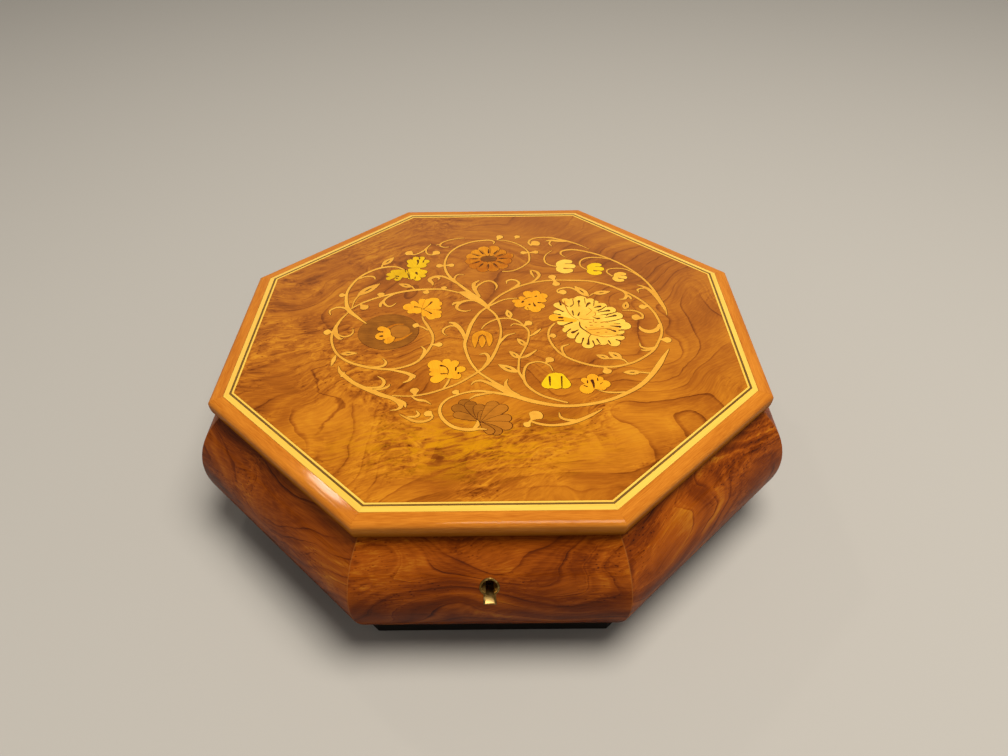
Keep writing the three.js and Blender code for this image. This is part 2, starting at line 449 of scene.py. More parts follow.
def lacquer(tree, shader, place, waves, coat=0.6):
    """Hand-rubbed clear lacquer: all the sheen is in the coat, with faint waves that bend its reflections."""
    shader.inputs["Roughness"].default_value = 0.6
    shader.inputs["Specular IOR Level"].default_value = 0
    shader.inputs["Coat Weight"].default_value = coat
    shader.inputs["Coat Roughness"].default_value = 0.07
    shader.inputs["Coat IOR"].default_value = 1.4
    swell = add(tree, "ShaderNodeTexNoise", {"Vector": place, "Scale": 1 / 9, "Detail": 1.5})
    bump = add(tree, "ShaderNodeBump", {"Height": swell.outputs[0], "Strength": 1, "Distance": waves})
    tree.links.new(bump.outputs[0], shader.inputs["Coat Normal"])


def on_lid(tree):
    """The place on the lid, in millimetres from its middle."""
    spot = add(tree, "ShaderNodeTexCoord").outputs["Object"]
    return add(tree, "ShaderNodeVectorMath", {0: spot, "Scale": 1 / MM}, operation="SCALE").outputs[0]


def on_bar(tree):
    """The place on a bar, in millimetres along it and round its section, with a layer for each side."""
    grain = add(tree, "ShaderNodeUVMap", uv_map="grain").outputs[0]
    side = add(tree, "ShaderNodeAttribute", attribute_name="side").outputs["Fac"]
    apart = 217  # millimetres between the layers, so that no two sides look alike
    layer = maths(tree, "MULTIPLY", side, apart)
    layers = add(tree, "ShaderNodeCombineXYZ", {"X": layer, "Z": layer}).outputs[0]
    return add(tree, "ShaderNodeVectorMath", {0: grain, 1: layers}, operation="ADD").outputs[0]
# The bore's faces are bright brass: wear from the key, and painted light on the lit inside of the bore


def veneer_shade(tree, place, flow, burl_share, feather_depth, line_depth):
    """The shade of burl veneer, from 0 to 1.

    Growth lines are the contours of rolling hills on a slope, as a saw cuts through a burl's layers. Flow
    turns the streaks, in degrees. Burl share raises how much of the sheet is burl, with eyes and feathery
    figure, and how little is plain wood with growth lines.
    """
    half = (0.5, 0.5, 0.5)
    slow = add(tree, "ShaderNodeTexNoise", {"Vector": place, "Scale": 1 / 80, "Detail": 1.5}).outputs["Color"]
    slow_turn = add(tree, "ShaderNodeVectorMath", {0: slow, 1: half}, operation="SUBTRACT").outputs[0]
    wander = {0: slow_turn, 1: (70, 70, 70), 2: place}
    moved = add(tree, "ShaderNodeVectorMath", wander, operation="MULTIPLY_ADD").outputs[0]
    quick = add(tree, "ShaderNodeTexNoise", {"Vector": place, "Scale": 1 / 13, "Detail": 2}).outputs["Color"]
    quick_turn = add(tree, "ShaderNodeVectorMath", {0: quick, 1: half}, operation="SUBTRACT").outputs[0]
    shake = {0: quick_turn, 1: (4, 4, 4), 2: moved}
    shaken = add(tree, "ShaderNodeVectorMath", shake, operation="MULTIPLY_ADD").outputs[0]

    hills = noise(tree, shaken, 1 / 85, 0.3)
    tilt = (-0.06 * math.sin(math.radians(flow)), 0.06 * math.cos(math.radians(flow)), 0)
    slope = add(tree, "ShaderNodeVectorMath", {0: shaken, 1: tilt}, operation="DOT_PRODUCT").outputs["Value"]
    rise = maths(tree, "MULTIPLY_ADD", hills, 12.6, slope)
    saw = maths(tree, "FRACT", rise)
    line = ranged(tree, saw, 0.88, 0.97)
    soft = maths(tree, "POWER", saw, 3)
    drawn = maths(tree, "MULTIPLY", line, 0.7)
    lines = maths(tree, "MULTIPLY_ADD", soft, 0.12, drawn)

    burls = noise(tree, place, 1 / 38, 3)
    raised = maths(tree, "ADD", burls, burl_share)
    burl = ranged(tree, raised, 0.48, 0.64)
    lined = ranged(tree, burl, 0, 1, 1, 0.3)
    faint = noise(tree, place, 1 / 30, 1)
    fading = ranged(tree, faint, 0.35, 0.6)
    drawn_lines = maths(tree, "MULTIPLY", lines, lined)
    drawn_lines = maths(tree, "MULTIPLY", drawn_lines, fading)

    # Bands follow the layers; streaks run along the flow; feathers and eyes about 1 mm across fill the burls
    bands = add(
        tree, "ShaderNodeTexNoise", {"W": rise, "Scale": 1.4, "Detail": 3}, noise_dimensions="1D"
    ).outputs[0]
    turned_place = rotated(tree, moved, -flow)
    long_place = scaled(tree, turned_place, (1 / 6, 1 / 1.1, 0.2))
    streaks = noise(tree, long_place, 1, 3)
    feather_place = scaled(tree, turned_place, (0.45, 1, 1))
    feathers = add(
        tree,
        "ShaderNodeTexNoise",
        {"Vector": feather_place, "Scale": 1 / 4.5, "Detail": 4, "Roughness": 0.65, "Distortion": 1.1},
    ).outputs[0]
    cells = add(tree, "ShaderNodeTexVoronoi", {"Vector": place, "Scale": 1 / 3}).outputs["Distance"]
    eyes = ranged(tree, cells, 0.1, 0.24, 1, 0)
    clouds = noise(tree, moved, 1 / 45, 2)

    # Each figure adds its share, in noise that swings about 0.2 to either side of one half
    shade = maths(tree, "MULTIPLY_ADD", clouds, 0.8, -0.295)
    shade = maths(tree, "MULTIPLY_ADD", bands, 0.45, shade)
    shade = maths(tree, "MULTIPLY_ADD", streaks, 0.34, shade)
    swing = maths(tree, "SUBTRACT", feathers, 0.5)
    feathered = maths(tree, "MULTIPLY", swing, burl)
    shade = maths(tree, "MULTIPLY_ADD", feathered, feather_depth, shade)
    dotted = maths(tree, "MULTIPLY", eyes, burl)
    shade = maths(tree, "MULTIPLY_ADD", dotted, -0.26, shade)
    return maths(tree, "MULTIPLY_ADD", drawn_lines, -line_depth, shade)


def stave_burl(finish):
    """Red-brown swirling burl veneer on the staves, paler at each corner, with painted shade at the foot."""
    material, tree, shader = principled("stave_burl_veneer")
    place = on_bar(tree)
    squeezed = scaled(tree, place, (1, 1.8, 1))
    shade = veneer_shade(tree, squeezed, 12, 0.02, 0.75, 0.34)
    stops = [(0.12, finish.burl_dark), (0.42, finish.burl)]
    stops += [(0.62, finish.burl_light), (0.85, finish.burl_glow)]
    wood = ramp(tree, shade, stops)
    mitre = add(tree, "ShaderNodeAttribute", attribute_name="mitre").outputs["Fac"]
    # Paler colour within half a millimetre of each upright corner
    seam = ranged(tree, mitre, 0.15, 0.45, 0.4, 0)
    tint = mixed(tree, seam, wood, finish.seam)
    # Painted shade: the veneer darkens from 54 mm down to the staves' foot
    height = add(tree, "ShaderNodeSeparateXYZ", {0: on_lid(tree)}).outputs["Z"]
    painted_foot_shade = ranged(tree, height, 12, 54, 0.82, 0)
    tint = mixed(tree, painted_foot_shade, tint, finish.burl_dark)
    tree.links.new(tint, shader.inputs["Base Color"])
    lacquer(tree, shader, place, 0.06 * MM, 0.25)
    return material


def lid_burl(finish):
    """Burl veneer on the lid: orange-brown, redder to the back partly by painted reflection, with a golden
    flame at the front edge.
    """
    material, tree, shader = principled("lid_burl_veneer")
    place = on_lid(tree)
    ways = add(tree, "ShaderNodeSeparateXYZ", {0: place}).outputs
    left_share = ranged(tree, ways["X"], -120, 70, 0.12, -0.07)

    # The flame is an oval about 140 mm wide at the front edge, broken up into feathery tongues
    shifted = {"Vector": place, "Location": (0.14, 4.1, 0), "Scale": (1 / 68, 1 / 23, 0)}
    spot = add(tree, "ShaderNodeMapping", shifted).outputs[0]
    far = add(tree, "ShaderNodeVectorMath", {0: spot}, operation="LENGTH").outputs["Value"]
    oval = ranged(tree, far, 0.3, 1.3, 1, 0)
    burl_share = maths(tree, "MULTIPLY_ADD", oval, 0.18, left_share)
    shade = veneer_shade(tree, place, 28, burl_share, 1.6, 0.36)

    # A dark vein winds from the front to the back at the left. The ramp gives, at each share of its length,
    # how far it bends aside, as a share of 25 mm from a line 101.5 mm left of the middle.
    along = ranged(tree, ways["Y"], -90, -28)
    bends = [(0, 0.45), (0.18, 0.68), (0.36, 0.9), (0.48, 0.8)]
    bends += [(0.56, 0.36), (0.72, 0.28), (0.86, 0.12), (1, 0.7)]
    bend = ramp(tree, along, [(t, (x, x, x)) for t, x in bends])
    winding = noise(tree, place, 1 / 7, 3)
    wound = maths(tree, "MULTIPLY_ADD", winding, -7, ways["X"])
    aside = maths(tree, "MULTIPLY_ADD", bend, -25, wound)
    aside = maths(tree, "ADD", aside, 101.5)
    aside = maths(tree, "ABSOLUTE", aside)
    from_swelling = maths(tree, "ADD", ways["Y"], 67)
    from_swelling = maths(tree, "ABSOLUTE", from_swelling)
    half_wide = ranged(tree, from_swelling, 0, 11, 2.4, 1.1)
    over = maths(tree, "SUBTRACT", half_wide, aside)
    inked = ranged(tree, over, 0, 1.1)
    begun = ranged(tree, along, 0, 0.15)
    ended = ranged(tree, along, 1, 0.94)
    vein = maths(tree, "MULTIPLY", begun, ended)
    vein = maths(tree, "MULTIPLY", vein, inked)
    shade = maths(tree, "MULTIPLY_ADD", vein, -0.3, shade)
    stops = [(0.12, finish.field_dark), (0.4, finish.field)]
    stops += [(0.62, finish.field_light), (0.88, finish.field_glow)]
    wood = ramp(tree, shade, stops)
    # Towards the back the veneer turns redder and greyer: partly its own colour, partly a painted reflection
    # of the pale room
    back_tint_and_reflection = ranged(tree, ways["Y"], -60, 110, 0, 0.45)
    tint = mixed(tree, back_tint_and_reflection, wood, finish.field_back_and_reflection)

    slanted = rotated(tree, place, -14)
    drawn_out = scaled(tree, slanted, (1 / 13, 1 / 4, 1))
    tongue = {"Vector": drawn_out, "Scale": 1, "Detail": 5, "Roughness": 0.62, "Distortion": 1.2}
    tongues = add(tree, "ShaderNodeTexNoise", tongue).outputs[0]
    flame = ranged(tree, tongues, 0.42, 0.6)
    lit = maths(tree, "MULTIPLY", flame, oval)
    glow = maths(tree, "MULTIPLY", lit, 0.85)
    gaps = ranged(tree, tongues, 0.46, 0.34)
    gaps = maths(tree, "MULTIPLY", gaps, oval)
    gaps = maths(tree, "MULTIPLY", gaps, 0.45)
    tint = mixed(tree, gaps, tint, finish.field_dark)
    tint = mixed(tree, glow, tint, finish.field_flame)
    tree.links.new(tint, shader.inputs["Base Color"])
    lacquer(tree, shader, place, 0.03 * MM)
    return material


def straight_wood(name, dark, light, fibre, length, contrast):
    """Straight-grained wood cut along its length, under lacquer: pores and soft streaks run with the grain.

    A fibre is as wide and a streak as long as given, in millimetres. Real fibres are finer than the render
    shows, so they are drawn at a few tenths of a millimetre.
    """
    material, tree, shader = principled(name)
    place = on_bar(tree)
    fine_place = scaled(tree, place, (1 / length, 1 / fibre, 1))
    fine = noise(tree, fine_place, 1, 2)
    broad = (1 / (6 * length), 1 / (10 * fibre), 1)
    broad_place = scaled(tree, place, broad)
    streaks = noise(tree, broad_place, 1, 3)
    both = maths(tree, "ADD", fine, streaks)
    shade = ranged(tree, both, 1 - 0.35 / contrast, 1 + 0.35 / contrast)
    wood = ramp(tree, shade, ((0, dark), (1, light)))
    tree.links.new(wood, shader.inputs["Base Color"])
    lacquer(tree, shader, place, 0.02 * MM)
    return material


def moulding_wood(finish, foot, nose):
    """Mahogany of the moulding, golden and glossy on top, with painted shade and a thinner coat under its
    nose.
    The heights of its foot and its nose are in millimetres.
    """
    material = straight_wood("mahogany_moulding", finish.mahogany_dark, finish.mahogany, 0.45, 7, 0.8)
    tree = material.node_tree
    base = tree.nodes["Principled BSDF"].inputs["Base Color"]
    wood = base.links[0].from_socket
    height = add(tree, "ShaderNodeSeparateXYZ", {0: on_lid(tree)}).outputs["Z"]
    # Painted shade: below the nose the mahogany darkens towards a near-black brown, and its coat thins out
    painted_under_shade = ranged(tree, height, foot, nose, 0.95, 0)
    coat = tree.nodes["Principled BSDF"].inputs["Coat Weight"]
    tree.links.new(ranged(tree, painted_under_shade, 0, 0.6, 0.4, 0.03), coat)
    tree.links.new(mixed(tree, painted_under_shade, wood, finish.mahogany_painted_shade), base)
    return material


def inlay_wood(name, dark, light, turn):
    """Thin sheet wood of the picture, flush under the same lacquer: each part has a tone of its own."""
    material, tree, shader = principled(name)
    place = on_lid(tree)
    tone = add(tree, "ShaderNodeAttribute", attribute_name="tone").outputs["Fac"]
    turned_place = rotated(tree, place, turn)
    grain_place = scaled(tree, turned_place, (1 / 9, 1 / 0.7, 1))
    grain = noise(tree, grain_place, 1, 2)
    clouds = noise(tree, place, 1 / 6, 2)
    both = maths(tree, "ADD", grain, clouds)
    shade = maths(tree, "MULTIPLY_ADD", both, 0.6, tone)
    share_light = ranged(tree, shade, 0.6, 1.6)
    wood = ramp(tree, share_light, ((0, dark), (1, light)))
    tree.links.new(wood, shader.inputs["Base Color"])
    lacquer(tree, shader, place, 0.03 * MM)
    return material


def near_black_board(finish):
    """Near-black hardwood, only sealed, with the grain just showing as dull streaks."""
    material, tree, shader = principled("near_black_wood")
    place = on_lid(tree)
    stretched = scaled(tree, place, (1 / 20, 1 / 20, 1 / 0.8))
    grain = noise(tree, stretched, 1, 3)
    stops = ((0.35, finish.black), (0.7, finish.black_worn))
    tint = ramp(tree, grain, stops)
    dull = ranged(tree, grain, 0, 1, 0.45, 0.65)
    tree.links.new(tint, shader.inputs["Base Color"])
    tree.links.new(dull, shader.inputs["Roughness"])
    shader.inputs["Specular IOR Level"].default_value = 0.15
    return material


def bare_board(finish):
    """Plain sawn hardwood inside the lid, unlacquered and dull."""
    material, tree, shader = principled("bare_board")
    place = on_lid(tree)
    stretched = scaled(tree, place, (1 / 60, 1 / 1.5, 1 / 1.5))
    grain = noise(tree, stretched, 1, 3)
    stops = ((0.3, finish.plain_dark), (0.7, finish.plain))
    tint = ramp(tree, grain, stops)
    shader.inputs["Roughness"].default_value = 0.75
    tree.links.new(tint, shader.inputs["Base Color"])
    return material


def aged_metal(name, bright, dull_tint, roughness):
    """Cast metal aged by handling, stained, but bright where an attribute marks key wear and painted light.
    """
    material, tree, shader = principled(name)
    place = on_lid(tree)
    stains = noise(tree, place, 1 / 1.8, 4)
    tint = ramp(tree, stains, ((0.3, bright), (0.5, dull_tint)))
    rubbed_and_lit = add(tree, "ShaderNodeAttribute", attribute_name="rubbed_and_lit").outputs["Fac"]
    tint = mixed(tree, rubbed_and_lit, tint, bright)
    worn = ranged(tree, stains, 0.3, 0.7, roughness, roughness + 0.25)
    shader.inputs["Metallic"].default_value = 1
    tree.links.new(tint, shader.inputs["Base Color"])
    tree.links.new(worn, shader.inputs["Roughness"])
    return material


# The inlaid picture. It is drawn in millimetres, with x to the right, y to the back, and the lid's
# middle at 0. Each part is (wood, tone, samples), where samples run along the part as (x, y, width). The tone
# runs from -1, the wood's darkest shade, to 1, its lightest.

# Each vine's widths, spread evenly over its points, and its points
VINES = (
    # Scroll on the left, up to the yellow flower
    ((0.6, 2.8, 1.6, 1.6, 1.8, 1.2), ((-71.5, 6), (-77, 12), (-83.5, 20), (-86.5, 30), (-87, 41),
        (-83.5, 53), (-77.5, 61.5), (-69.5, 67), (-61, 68), (-55.5, 64.5))),
    ((1.8, 1.5, 1.3, 0.8), ((-83.5, 19), (-86, 22), (-90.5, 23), (-94, 20.5), (-94.5, 18),
        (-93.5, 15.5))),
    ((1, 1.6, 1.5, 0.6), ((-82, 54), (-79, 56.5), (-75.5, 57), (-73, 56), (-72, 53.5))),
    ((1, 1.2), ((-69.5, 67), (-69.5, 70))),
    # Scroll round the dark disc
    ((0.8, 2, 1.3, 1.6, 2, 1.5, 1.7, 1.5, 1.8, 0.7), ((-83.5, 17.5), (-86.5, 11), (-88.5, 3),
        (-89.5, -6), (-87.5, -15), (-83.5, -23), (-77.5, -29), (-70, -33), (-62, -35.5), (-53.5, -36.5),
        (-46, -34.5), (-39.5, -30), (-35, -21.5), (-32.5, -13), (-33, -5.5), (-36.5, 3.5), (-39, 9),
        (-40.5, 15))),
    ((2.2, 2.6, 1.8, 0.8), ((-88.5, 2), (-87, -5), (-84.5, -8.5), (-83, -8.5))),
    ((1, 1.5, 1.2, 0.4), ((-86.5, -4), (-83, -6.5), (-79.5, -5.5), (-78, -2.5), (-78.5, 1))),
    ((1.3, 1.3), ((-41, 3), (-38.5, 1.5), (-36, -1))),
    ((0.8, 1.8, 0.5), ((-38, -27), (-36.5, -22), (-36.5, -19), (-38.5, -16.5))),
    ((0.8, 1.8, 1.6, 0.4), ((-66, -34.5), (-60.5, -34.5), (-57, -33), (-56.5, -30), (-58.5, -27))),
    ((1, 2, 2.6, 0.6), ((-56, -36.5), (-50, -38), (-44.5, -40), (-41.5, -42.5), (-42.5, -46),
        (-45.5, -48))),
    ((1.4, 1.6, 0.6), ((-42, -41), (-40, -42.5), (-40, -44.5))),
    ((1, 2.4, 0.5), ((-84.5, -24), (-85, -28), (-85.5, -33))),
    # Arch from the left to the heart
    ((1, 1.4, 1.8, 2, 1.5, 1.2), ((-83, 20.5), (-77, 27), (-68, 33), (-58, 37.5), (-48, 40.5),
        (-38, 41.5), (-29, 41), (-20, 37.5))),
    ((0.7, 1.1, 1.3), ((-82, 22), (-81.5, 30), (-79.5, 36))),
    ((1, 1.2), ((-46.5, 41), (-48.5, 44.5))),
    ((1, 1.5, 1.6, 1.3, 0.4), ((-57, 37.5), (-61.5, 34), (-64, 30), (-63.5, 26.5), (-61, 23.5),
        (-58.5, 24), (-56.5, 27))),
    ((1.4, 2, 1.6), ((-63.5, 31), (-65.5, 26.5), (-65.5, 23.5))),
    # Sprays at the top left
    ((1.2, 1.3, 1.3, 0.5), ((-51, 82.5), (-48.5, 83.5), (-45, 87), (-42.5, 91.5), (-40.5, 96))),
    ((1.1, 1.3, 1.2, 0.8), ((-38.5, 82), (-41.5, 83), (-43, 86.5), (-42.5, 91))),
    ((0.5, 1.2, 1.3, 1.2, 0.6), ((-19, 103.5), (-26, 102), (-31, 99.5), (-34, 96.5), (-34, 93),
        (-31, 91.5), (-28.5, 92))),
    ((1.2, 0.6), ((-33.5, 96), (-37, 94.5))),
    # Ring round the daisy, down to the heart
    ((0.8, 1.4, 1.5, 1.4, 1.2, 1.6, 1.8, 2.2, 3, 2), ((0.5, 95.5), (1, 98), (-1.5, 100), (-6, 100),
        (-14, 98), (-22, 92.5), (-27, 85.5), (-29.5, 77.5), (-30, 69), (-28.5, 61), (-25, 53.5),
        (-19, 45), (-13, 37), (-8, 30.5), (-3.5, 23.5), (-2, 21))),
    ((0.9, 1.2, 1.2, 0.9), ((4, 100), (8, 99.5), (14, 96.5), (19, 91.5), (22.5, 85.5), (23.5, 79),
        (23, 72.5), (19.5, 67), (14.5, 62.5), (10.5, 61), (6.5, 61))),
    ((1.4, 1.3, 1, 0.5), ((-23, 50), (-23, 54.5), (-21, 58), (-17.5, 57.5))),
    ((1.8, 1.9, 2.4, 2.6, 0.6), ((-22, 48.5), (-26.5, 53), (-31, 56), (-35.5, 55.5), (-38.5, 52.5),
        (-36.5, 48.5), (-36, 46))),
    ((1.4, 1.4, 0.5), ((-35, 55.5), (-32.5, 54), (-33, 52))),
    # Heart at the middle
    ((1.2, 4.6, 5, 3.6, 2.2), ((-19.5, 37.5), (-16.5, 36.5), (-12.5, 32.5), (-8.5, 29), (-3, 22))),
    ((2.4, 1.8, 2.4, 1.9, 1.5, 0.5), ((-6, 26), (-10, 28.5), (-15, 28.5), (-19, 26), (-20.5, 21.5),
        (-18.5, 18.5), (-15, 17.5), (-12, 18.5))),
    ((1.8, 2.2, 0.8), ((-18.5, 27), (-22, 26), (-23, 24))),
    ((1.8, 2.6, 2.6, 0.9), ((-7.5, 33), (-10.5, 41), (-11, 47), (-8, 50.5))),
    ((1.2, 1.5, 1.6, 1.4, 0.5), ((-10, 38), (-9, 44), (-5, 49), (-1, 50), (2, 47), (3, 43), (2, 40))),
    # Lens below the heart, with its two long stems
    ((1.5, 1.6, 2.2, 2, 1.6, 1.4, 1.4, 2.4, 2.6), ((-3, 21), (-6.5, 16.5), (-9.5, 10), (-12, 2),
        (-13.5, -7), (-14.5, -15), (-13, -24), (-10.5, -32), (-6.5, -39.5), (-2, -44.5), (4, -50.5),
        (10, -56), (14, -59.5))),
    ((1.5, 1.5, 1.3, 1.6, 1.9, 1.5, 1.4, 1.3, 0.8), ((-3, 21), (-0.5, 18), (2.5, 13), (4.5, 6),
        (5.5, -2), (5, -10), (3.5, -18), (0.5, -28), (-3, -35), (-6.5, -39.5), (-12, -45), (-18, -50),
        (-25, -54), (-33, -57.5), (-41, -59), (-50, -58.5))),
    ((1.6, 2.6, 2.8, 1), ((-14.5, -10), (-16, -4), (-18.5, 1.5), (-21.5, 5.5), (-24, 6))),
    ((1.2, 1.5, 1.4, 0.4), ((-17.5, -1), (-20.5, 2.5), (-24, 2.5), (-27, -0.5), (-27, -4), (-25, -6.5))),
    ((0.6, 1.4, 1.4, 1.3, 1), ((-5.5, -0.5), (-3.5, 3.5), (0.5, 7.5), (5.5, 9.5), (10.5, 9.5), (15, 7),
        (18, 3), (20, -1))),
    ((0.8, 1.6, 1.5, 0.4), ((4.5, -15), (6.5, -10.5), (9, -7), (13.5, -5))),
    ((0.5, 2, 1.8, 1), ((-6, -24.5), (-3.5, -23.5), (-1.5, -25.5), (-1.5, -30), (-4, -35.5))),
    ((0.9, 1.4, 1), ((-24.5, -53.5), (-22.5, -49), (-21.5, -45))),
    # Great scroll on the right, round the cream flower
    ((1.4, 1.6, 1.5, 1.8, 1.5, 1.5, 1.7, 1.4, 1.2), ((-3, 21), (-1, 25), (2.5, 30.5), (7, 36), (13, 41),
        (20, 45.5), (28, 48.5), (38, 50), (50, 49.5), (60, 48.5), (70, 44), (77, 38.5), (84, 32),
        (90, 23.5), (94, 14), (95.5, 6), (96, -1), (95, -8), (92, -15.5), (88, -23), (80, -30.5),
        (74, -34), (66, -36.5), (57, -36), (49, -33), (42, -28.5), (37, -23), (33.5, -15.5), (32, -8),
        (33, -1), (36, 4))),
    ((1.6, 1.3, 0.8), ((-1.5, 22.5), (2, 25.5), (6, 28.5), (10, 30), (15, 30.5))),
    ((1, 1.6, 2.2, 1.6, 0.6), ((22, 46), (26.5, 50.5), (29, 55.5), (28, 59.5), (25.5, 61.5), (23.5, 62))),
    ((1.2, 1.8, 0.5), ((24, 61), (24.5, 57.5), (26, 53.5))),
    ((1.2, 2, 1.5, 1.4, 0.6), ((11, 40), (14.5, 43.5), (16.5, 47), (14.5, 50.5), (11, 51), (9, 49.5),
        (9, 47))),
    ((1.1, 1.4, 1.5, 1.8, 0.6), ((39.5, 36), (39.5, 39), (42.5, 41), (46.5, 41.5), (50, 39.5), (53, 36),
        (56, 34))),
    ((0.6, 1.1), ((57.5, 31.5), (60.5, 34.5))),
    ((1.4, 1.8, 2, 0.6), ((76.5, 39), (79.5, 35.5), (80, 31.5), (78.5, 28.5), (75.5, 28))),
    ((1.4, 1.8, 0.8), ((80, 33), (82, 30.5), (82.5, 28))),
    ((0.6, 1.4, 1.5, 1.3), ((76, 16), (80, 16.5), (84.5, 15), (87, 11.5), (86.5, 8))),
    ((0.8, 3.2, 3, 1), ((84, 0), (84.5, -2.5), (88, -5), (92, -4), (94, -1.5), (95, 2))),
    ((0.8, 2, 1.4, 0.4), ((91.5, -18.5), (88, -20.5), (84.5, -20.5), (82, -18.5), (82, -15.5))),
    ((1.6, 1.8, 0.8), ((88, -21.5), (84.5, -22.5), (82, -22))),
    ((0.8, 1.3, 1), ((73.5, -34), (70.5, -30), (64, -29.5))),
    ((1.2, 1.5, 1.3, 0.5), ((40.5, -27), (39, -22.5), (39, -18.5), (41, -17), (43, -16))),
    # Sprays at the top right, with the three tulips' stems
    ((1.5, 1.5, 1.2, 1.8, 1.6, 0.4), ((25, 93), (23.5, 96), (24.5, 99.5), (27.5, 102), (32, 103),
        (38, 102.5), (44, 100), (50, 97), (56, 93), (62.5, 87))),
    ((0.8, 2.2, 2.4, 1.6), ((35, 98), (38, 99), (43, 98), (48, 97.5))),
    ((1.2, 1.2, 0.5), ((38, 98), (37, 94.5), (38.5, 91.5))),
    ((0.5, 1.4, 1.7, 1.6, 1.5, 1.5, 1.5, 1.8, 0.4), ((46.5, 77.5), (44, 80.5), (44, 84), (47, 86),
        (52.5, 86.5), (60, 84), (68, 79.5), (76, 73), (83, 65.5), (89, 57), (94, 47), (97.5, 36),
        (99.5, 26), (101, 18), (101, 11))),
    ((0.6, 2, 2.6, 2.4, 0.6), ((88, 43.5), (91, 42), (94.5, 38), (97.5, 31), (99.5, 23), (100.5, 16))),
    ((1.2, 1.4, 1.3, 0.4), ((93, 40), (89.5, 39.5), (87.5, 38), (88, 35))),
    ((0.6, 1.2, 1.1), ((38, 85.5), (34.5, 81), (33, 76.5), (33.5, 71), (36.5, 67.5), (41, 66))),
    ((0.8, 1.3, 1.2, 1.1), ((76, 73), (72, 75), (66, 76.5), (60, 76), (56.5, 73.5), (55, 69.5), (56, 65),
        (59, 62))),
    ((0.8, 1.1, 1), ((91, 52.5), (87, 58), (82.5, 62), (77, 63), (72.5, 62), (71, 59), (72.5, 56),
        (74, 54))),
    # Plants beside the lens
    ((0.6, 1.3, 1.3, 1.4, 1.6, 1.5, 1.2), ((33, -39.5), (31.5, -35), (28, -32), (24, -31.5), (20, -33.5),
        (18, -38), (17.5, -44), (18.5, -50), (22, -55.5), (27, -60), (33, -63), (39, -65.5))),
    ((1.6, 1.2, 1.2, 1.3, 1.4, 0.5), ((17.5, -46.5), (15, -40), (15, -34), (15.5, -28), (17.5, -22),
        (20, -14.5), (21, -8), (21, -3), (19, 1), (15.5, 3.5), (12.5, 4), (11, 2))),
    ((0.8, 2, 0.5), ((21.5, -8), (24, -6), (26.5, -3), (28, -1))),
    ((0.8, 2.2, 0.5), ((16, -28), (20, -26), (25, -21))),
    # Long sweep at the front right
    ((0.4, 1.8, 2.6, 3.2, 2.4, 2, 2.2, 2.6, 3, 0.5), ((-10, -50.5), (-8.5, -48), (-5, -47), (-1, -49),
        (3, -52), (9, -57), (16, -61.5), (24, -65), (33, -67.5), (42, -68), (52, -66.5), (61, -63.5),
        (69, -59), (77, -53), (84, -44.5), (89.5, -35.5), (94, -27), (97, -21.5))),
    ((1, 1.6, 1.8, 2.6), ((-17, -58.5), (-12, -56.5), (-6, -55.5), (0, -56.5), (6, -58), (12, -60),
        (18, -62.5))),
    ((0.5, 1.8, 1.2), ((-10.5, -62), (-8, -59.5), (-3.5, -58), (2, -57))),
    ((1, 2.2, 1.6, 0.4), ((12, -58), (8.5, -52.5), (8, -49), (9, -46))),
    ((0.5, 1.4, 1), ((55, -55.5), (59.5, -57.5), (65, -58), (69, -57.5))),
    ((1, 1.3), ((84.5, -42.5), (79, -41.5))),
    ((1.2, 1.6, 1.7, 2.4, 1.8, 0.4), ((20, -79), (23.5, -81), (30, -82.5), (38, -81.5), (46, -78),
        (52, -74), (56, -71))),
    ((1.6, 1.8, 1.5, 0.4), ((42, -79), (38, -78.5), (35, -76.5), (34.5, -73))),
    # Loop and sprays at the front left
    ((1, 1.4, 1.7, 2, 2.2, 0.6), ((-16.5, -58.5), (-21, -61), (-24.5, -66), (-25, -72), (-22.5, -78),
        (-17.5, -83), (-11, -85), (-5, -84.5), (-1.5, -85))),
    ((1.6, 2.4, 0.6), ((-7.5, -84), (-6, -81.5), (-6, -78.5))),
    ((0.4, 2.6, 2.4, 3, 2.5, 3.2, 1.6, 0.4), ((-81.5, -33.5), (-80, -38), (-76, -43), (-70.5, -48.5),
        (-63, -53.5), (-55.5, -58), (-50, -60.5), (-46, -64), (-45, -67.5), (-47, -69.5), (-50, -70))),
    ((1.6, 0.5), ((-78.5, -42), (-77.5, -38.5))),
    ((1.6, 2, 0.8), ((-46.5, -62), (-43.5, -64.5), (-42.5, -67.5))),
    ((1.2, 2, 1.7, 0.4), ((-66, -51.5), (-60, -52), (-56.5, -51), (-55.5, -47.5), (-57, -44.5),
        (-59.5, -42.5))),
    ((1, 1.8, 0.8), ((-61, -54), (-56, -53), (-53, -51), (-52.5, -49.5))),
    ((0.8, 2, 0.5), ((-40, -59.5), (-37, -62), (-33, -63), (-30, -65.5))),
    ((0.4, 2, 1.6, 1), ((-45, -73), (-41, -76), (-36.5, -78.5), (-32, -78.5), (-29, -76.5),
        (-28.5, -74.5))),
    ((1, 2, 0.4), ((-40.5, -75), (-37, -75), (-35.5, -73), (-37, -70.5))),
)
# Slit leaves: base, tip and width
LEAVES = (
    (-80.5, 35.5, -68.5, 48.5, 5.5), (-69.5, 70, -63, 79.5, 4.5), (-48.5, 44, -57, 48, 4),
    (57.5, 31.5, 50, 43, 5), (60.5, 34.5, 71, 36.5, 4.2), (77.5, 17.5, 79.5, 25.5, 4),
    (64, -29.5, 57, -26, 3.8), (70.5, -29.5, 64, -23.5, 5), (19.5, -17.5, 14.5, -10, 3.6),
    (15.5, -28.5, 10, -21.5, 3.4), (14.5, -40.5, 4, -33.5, 4.6), (11, 10, 9, 18.5, 3.8),
    (79, -41.5, 70, -41.5, 4), (-82, -22.5, -73, -22, 3.4),
)
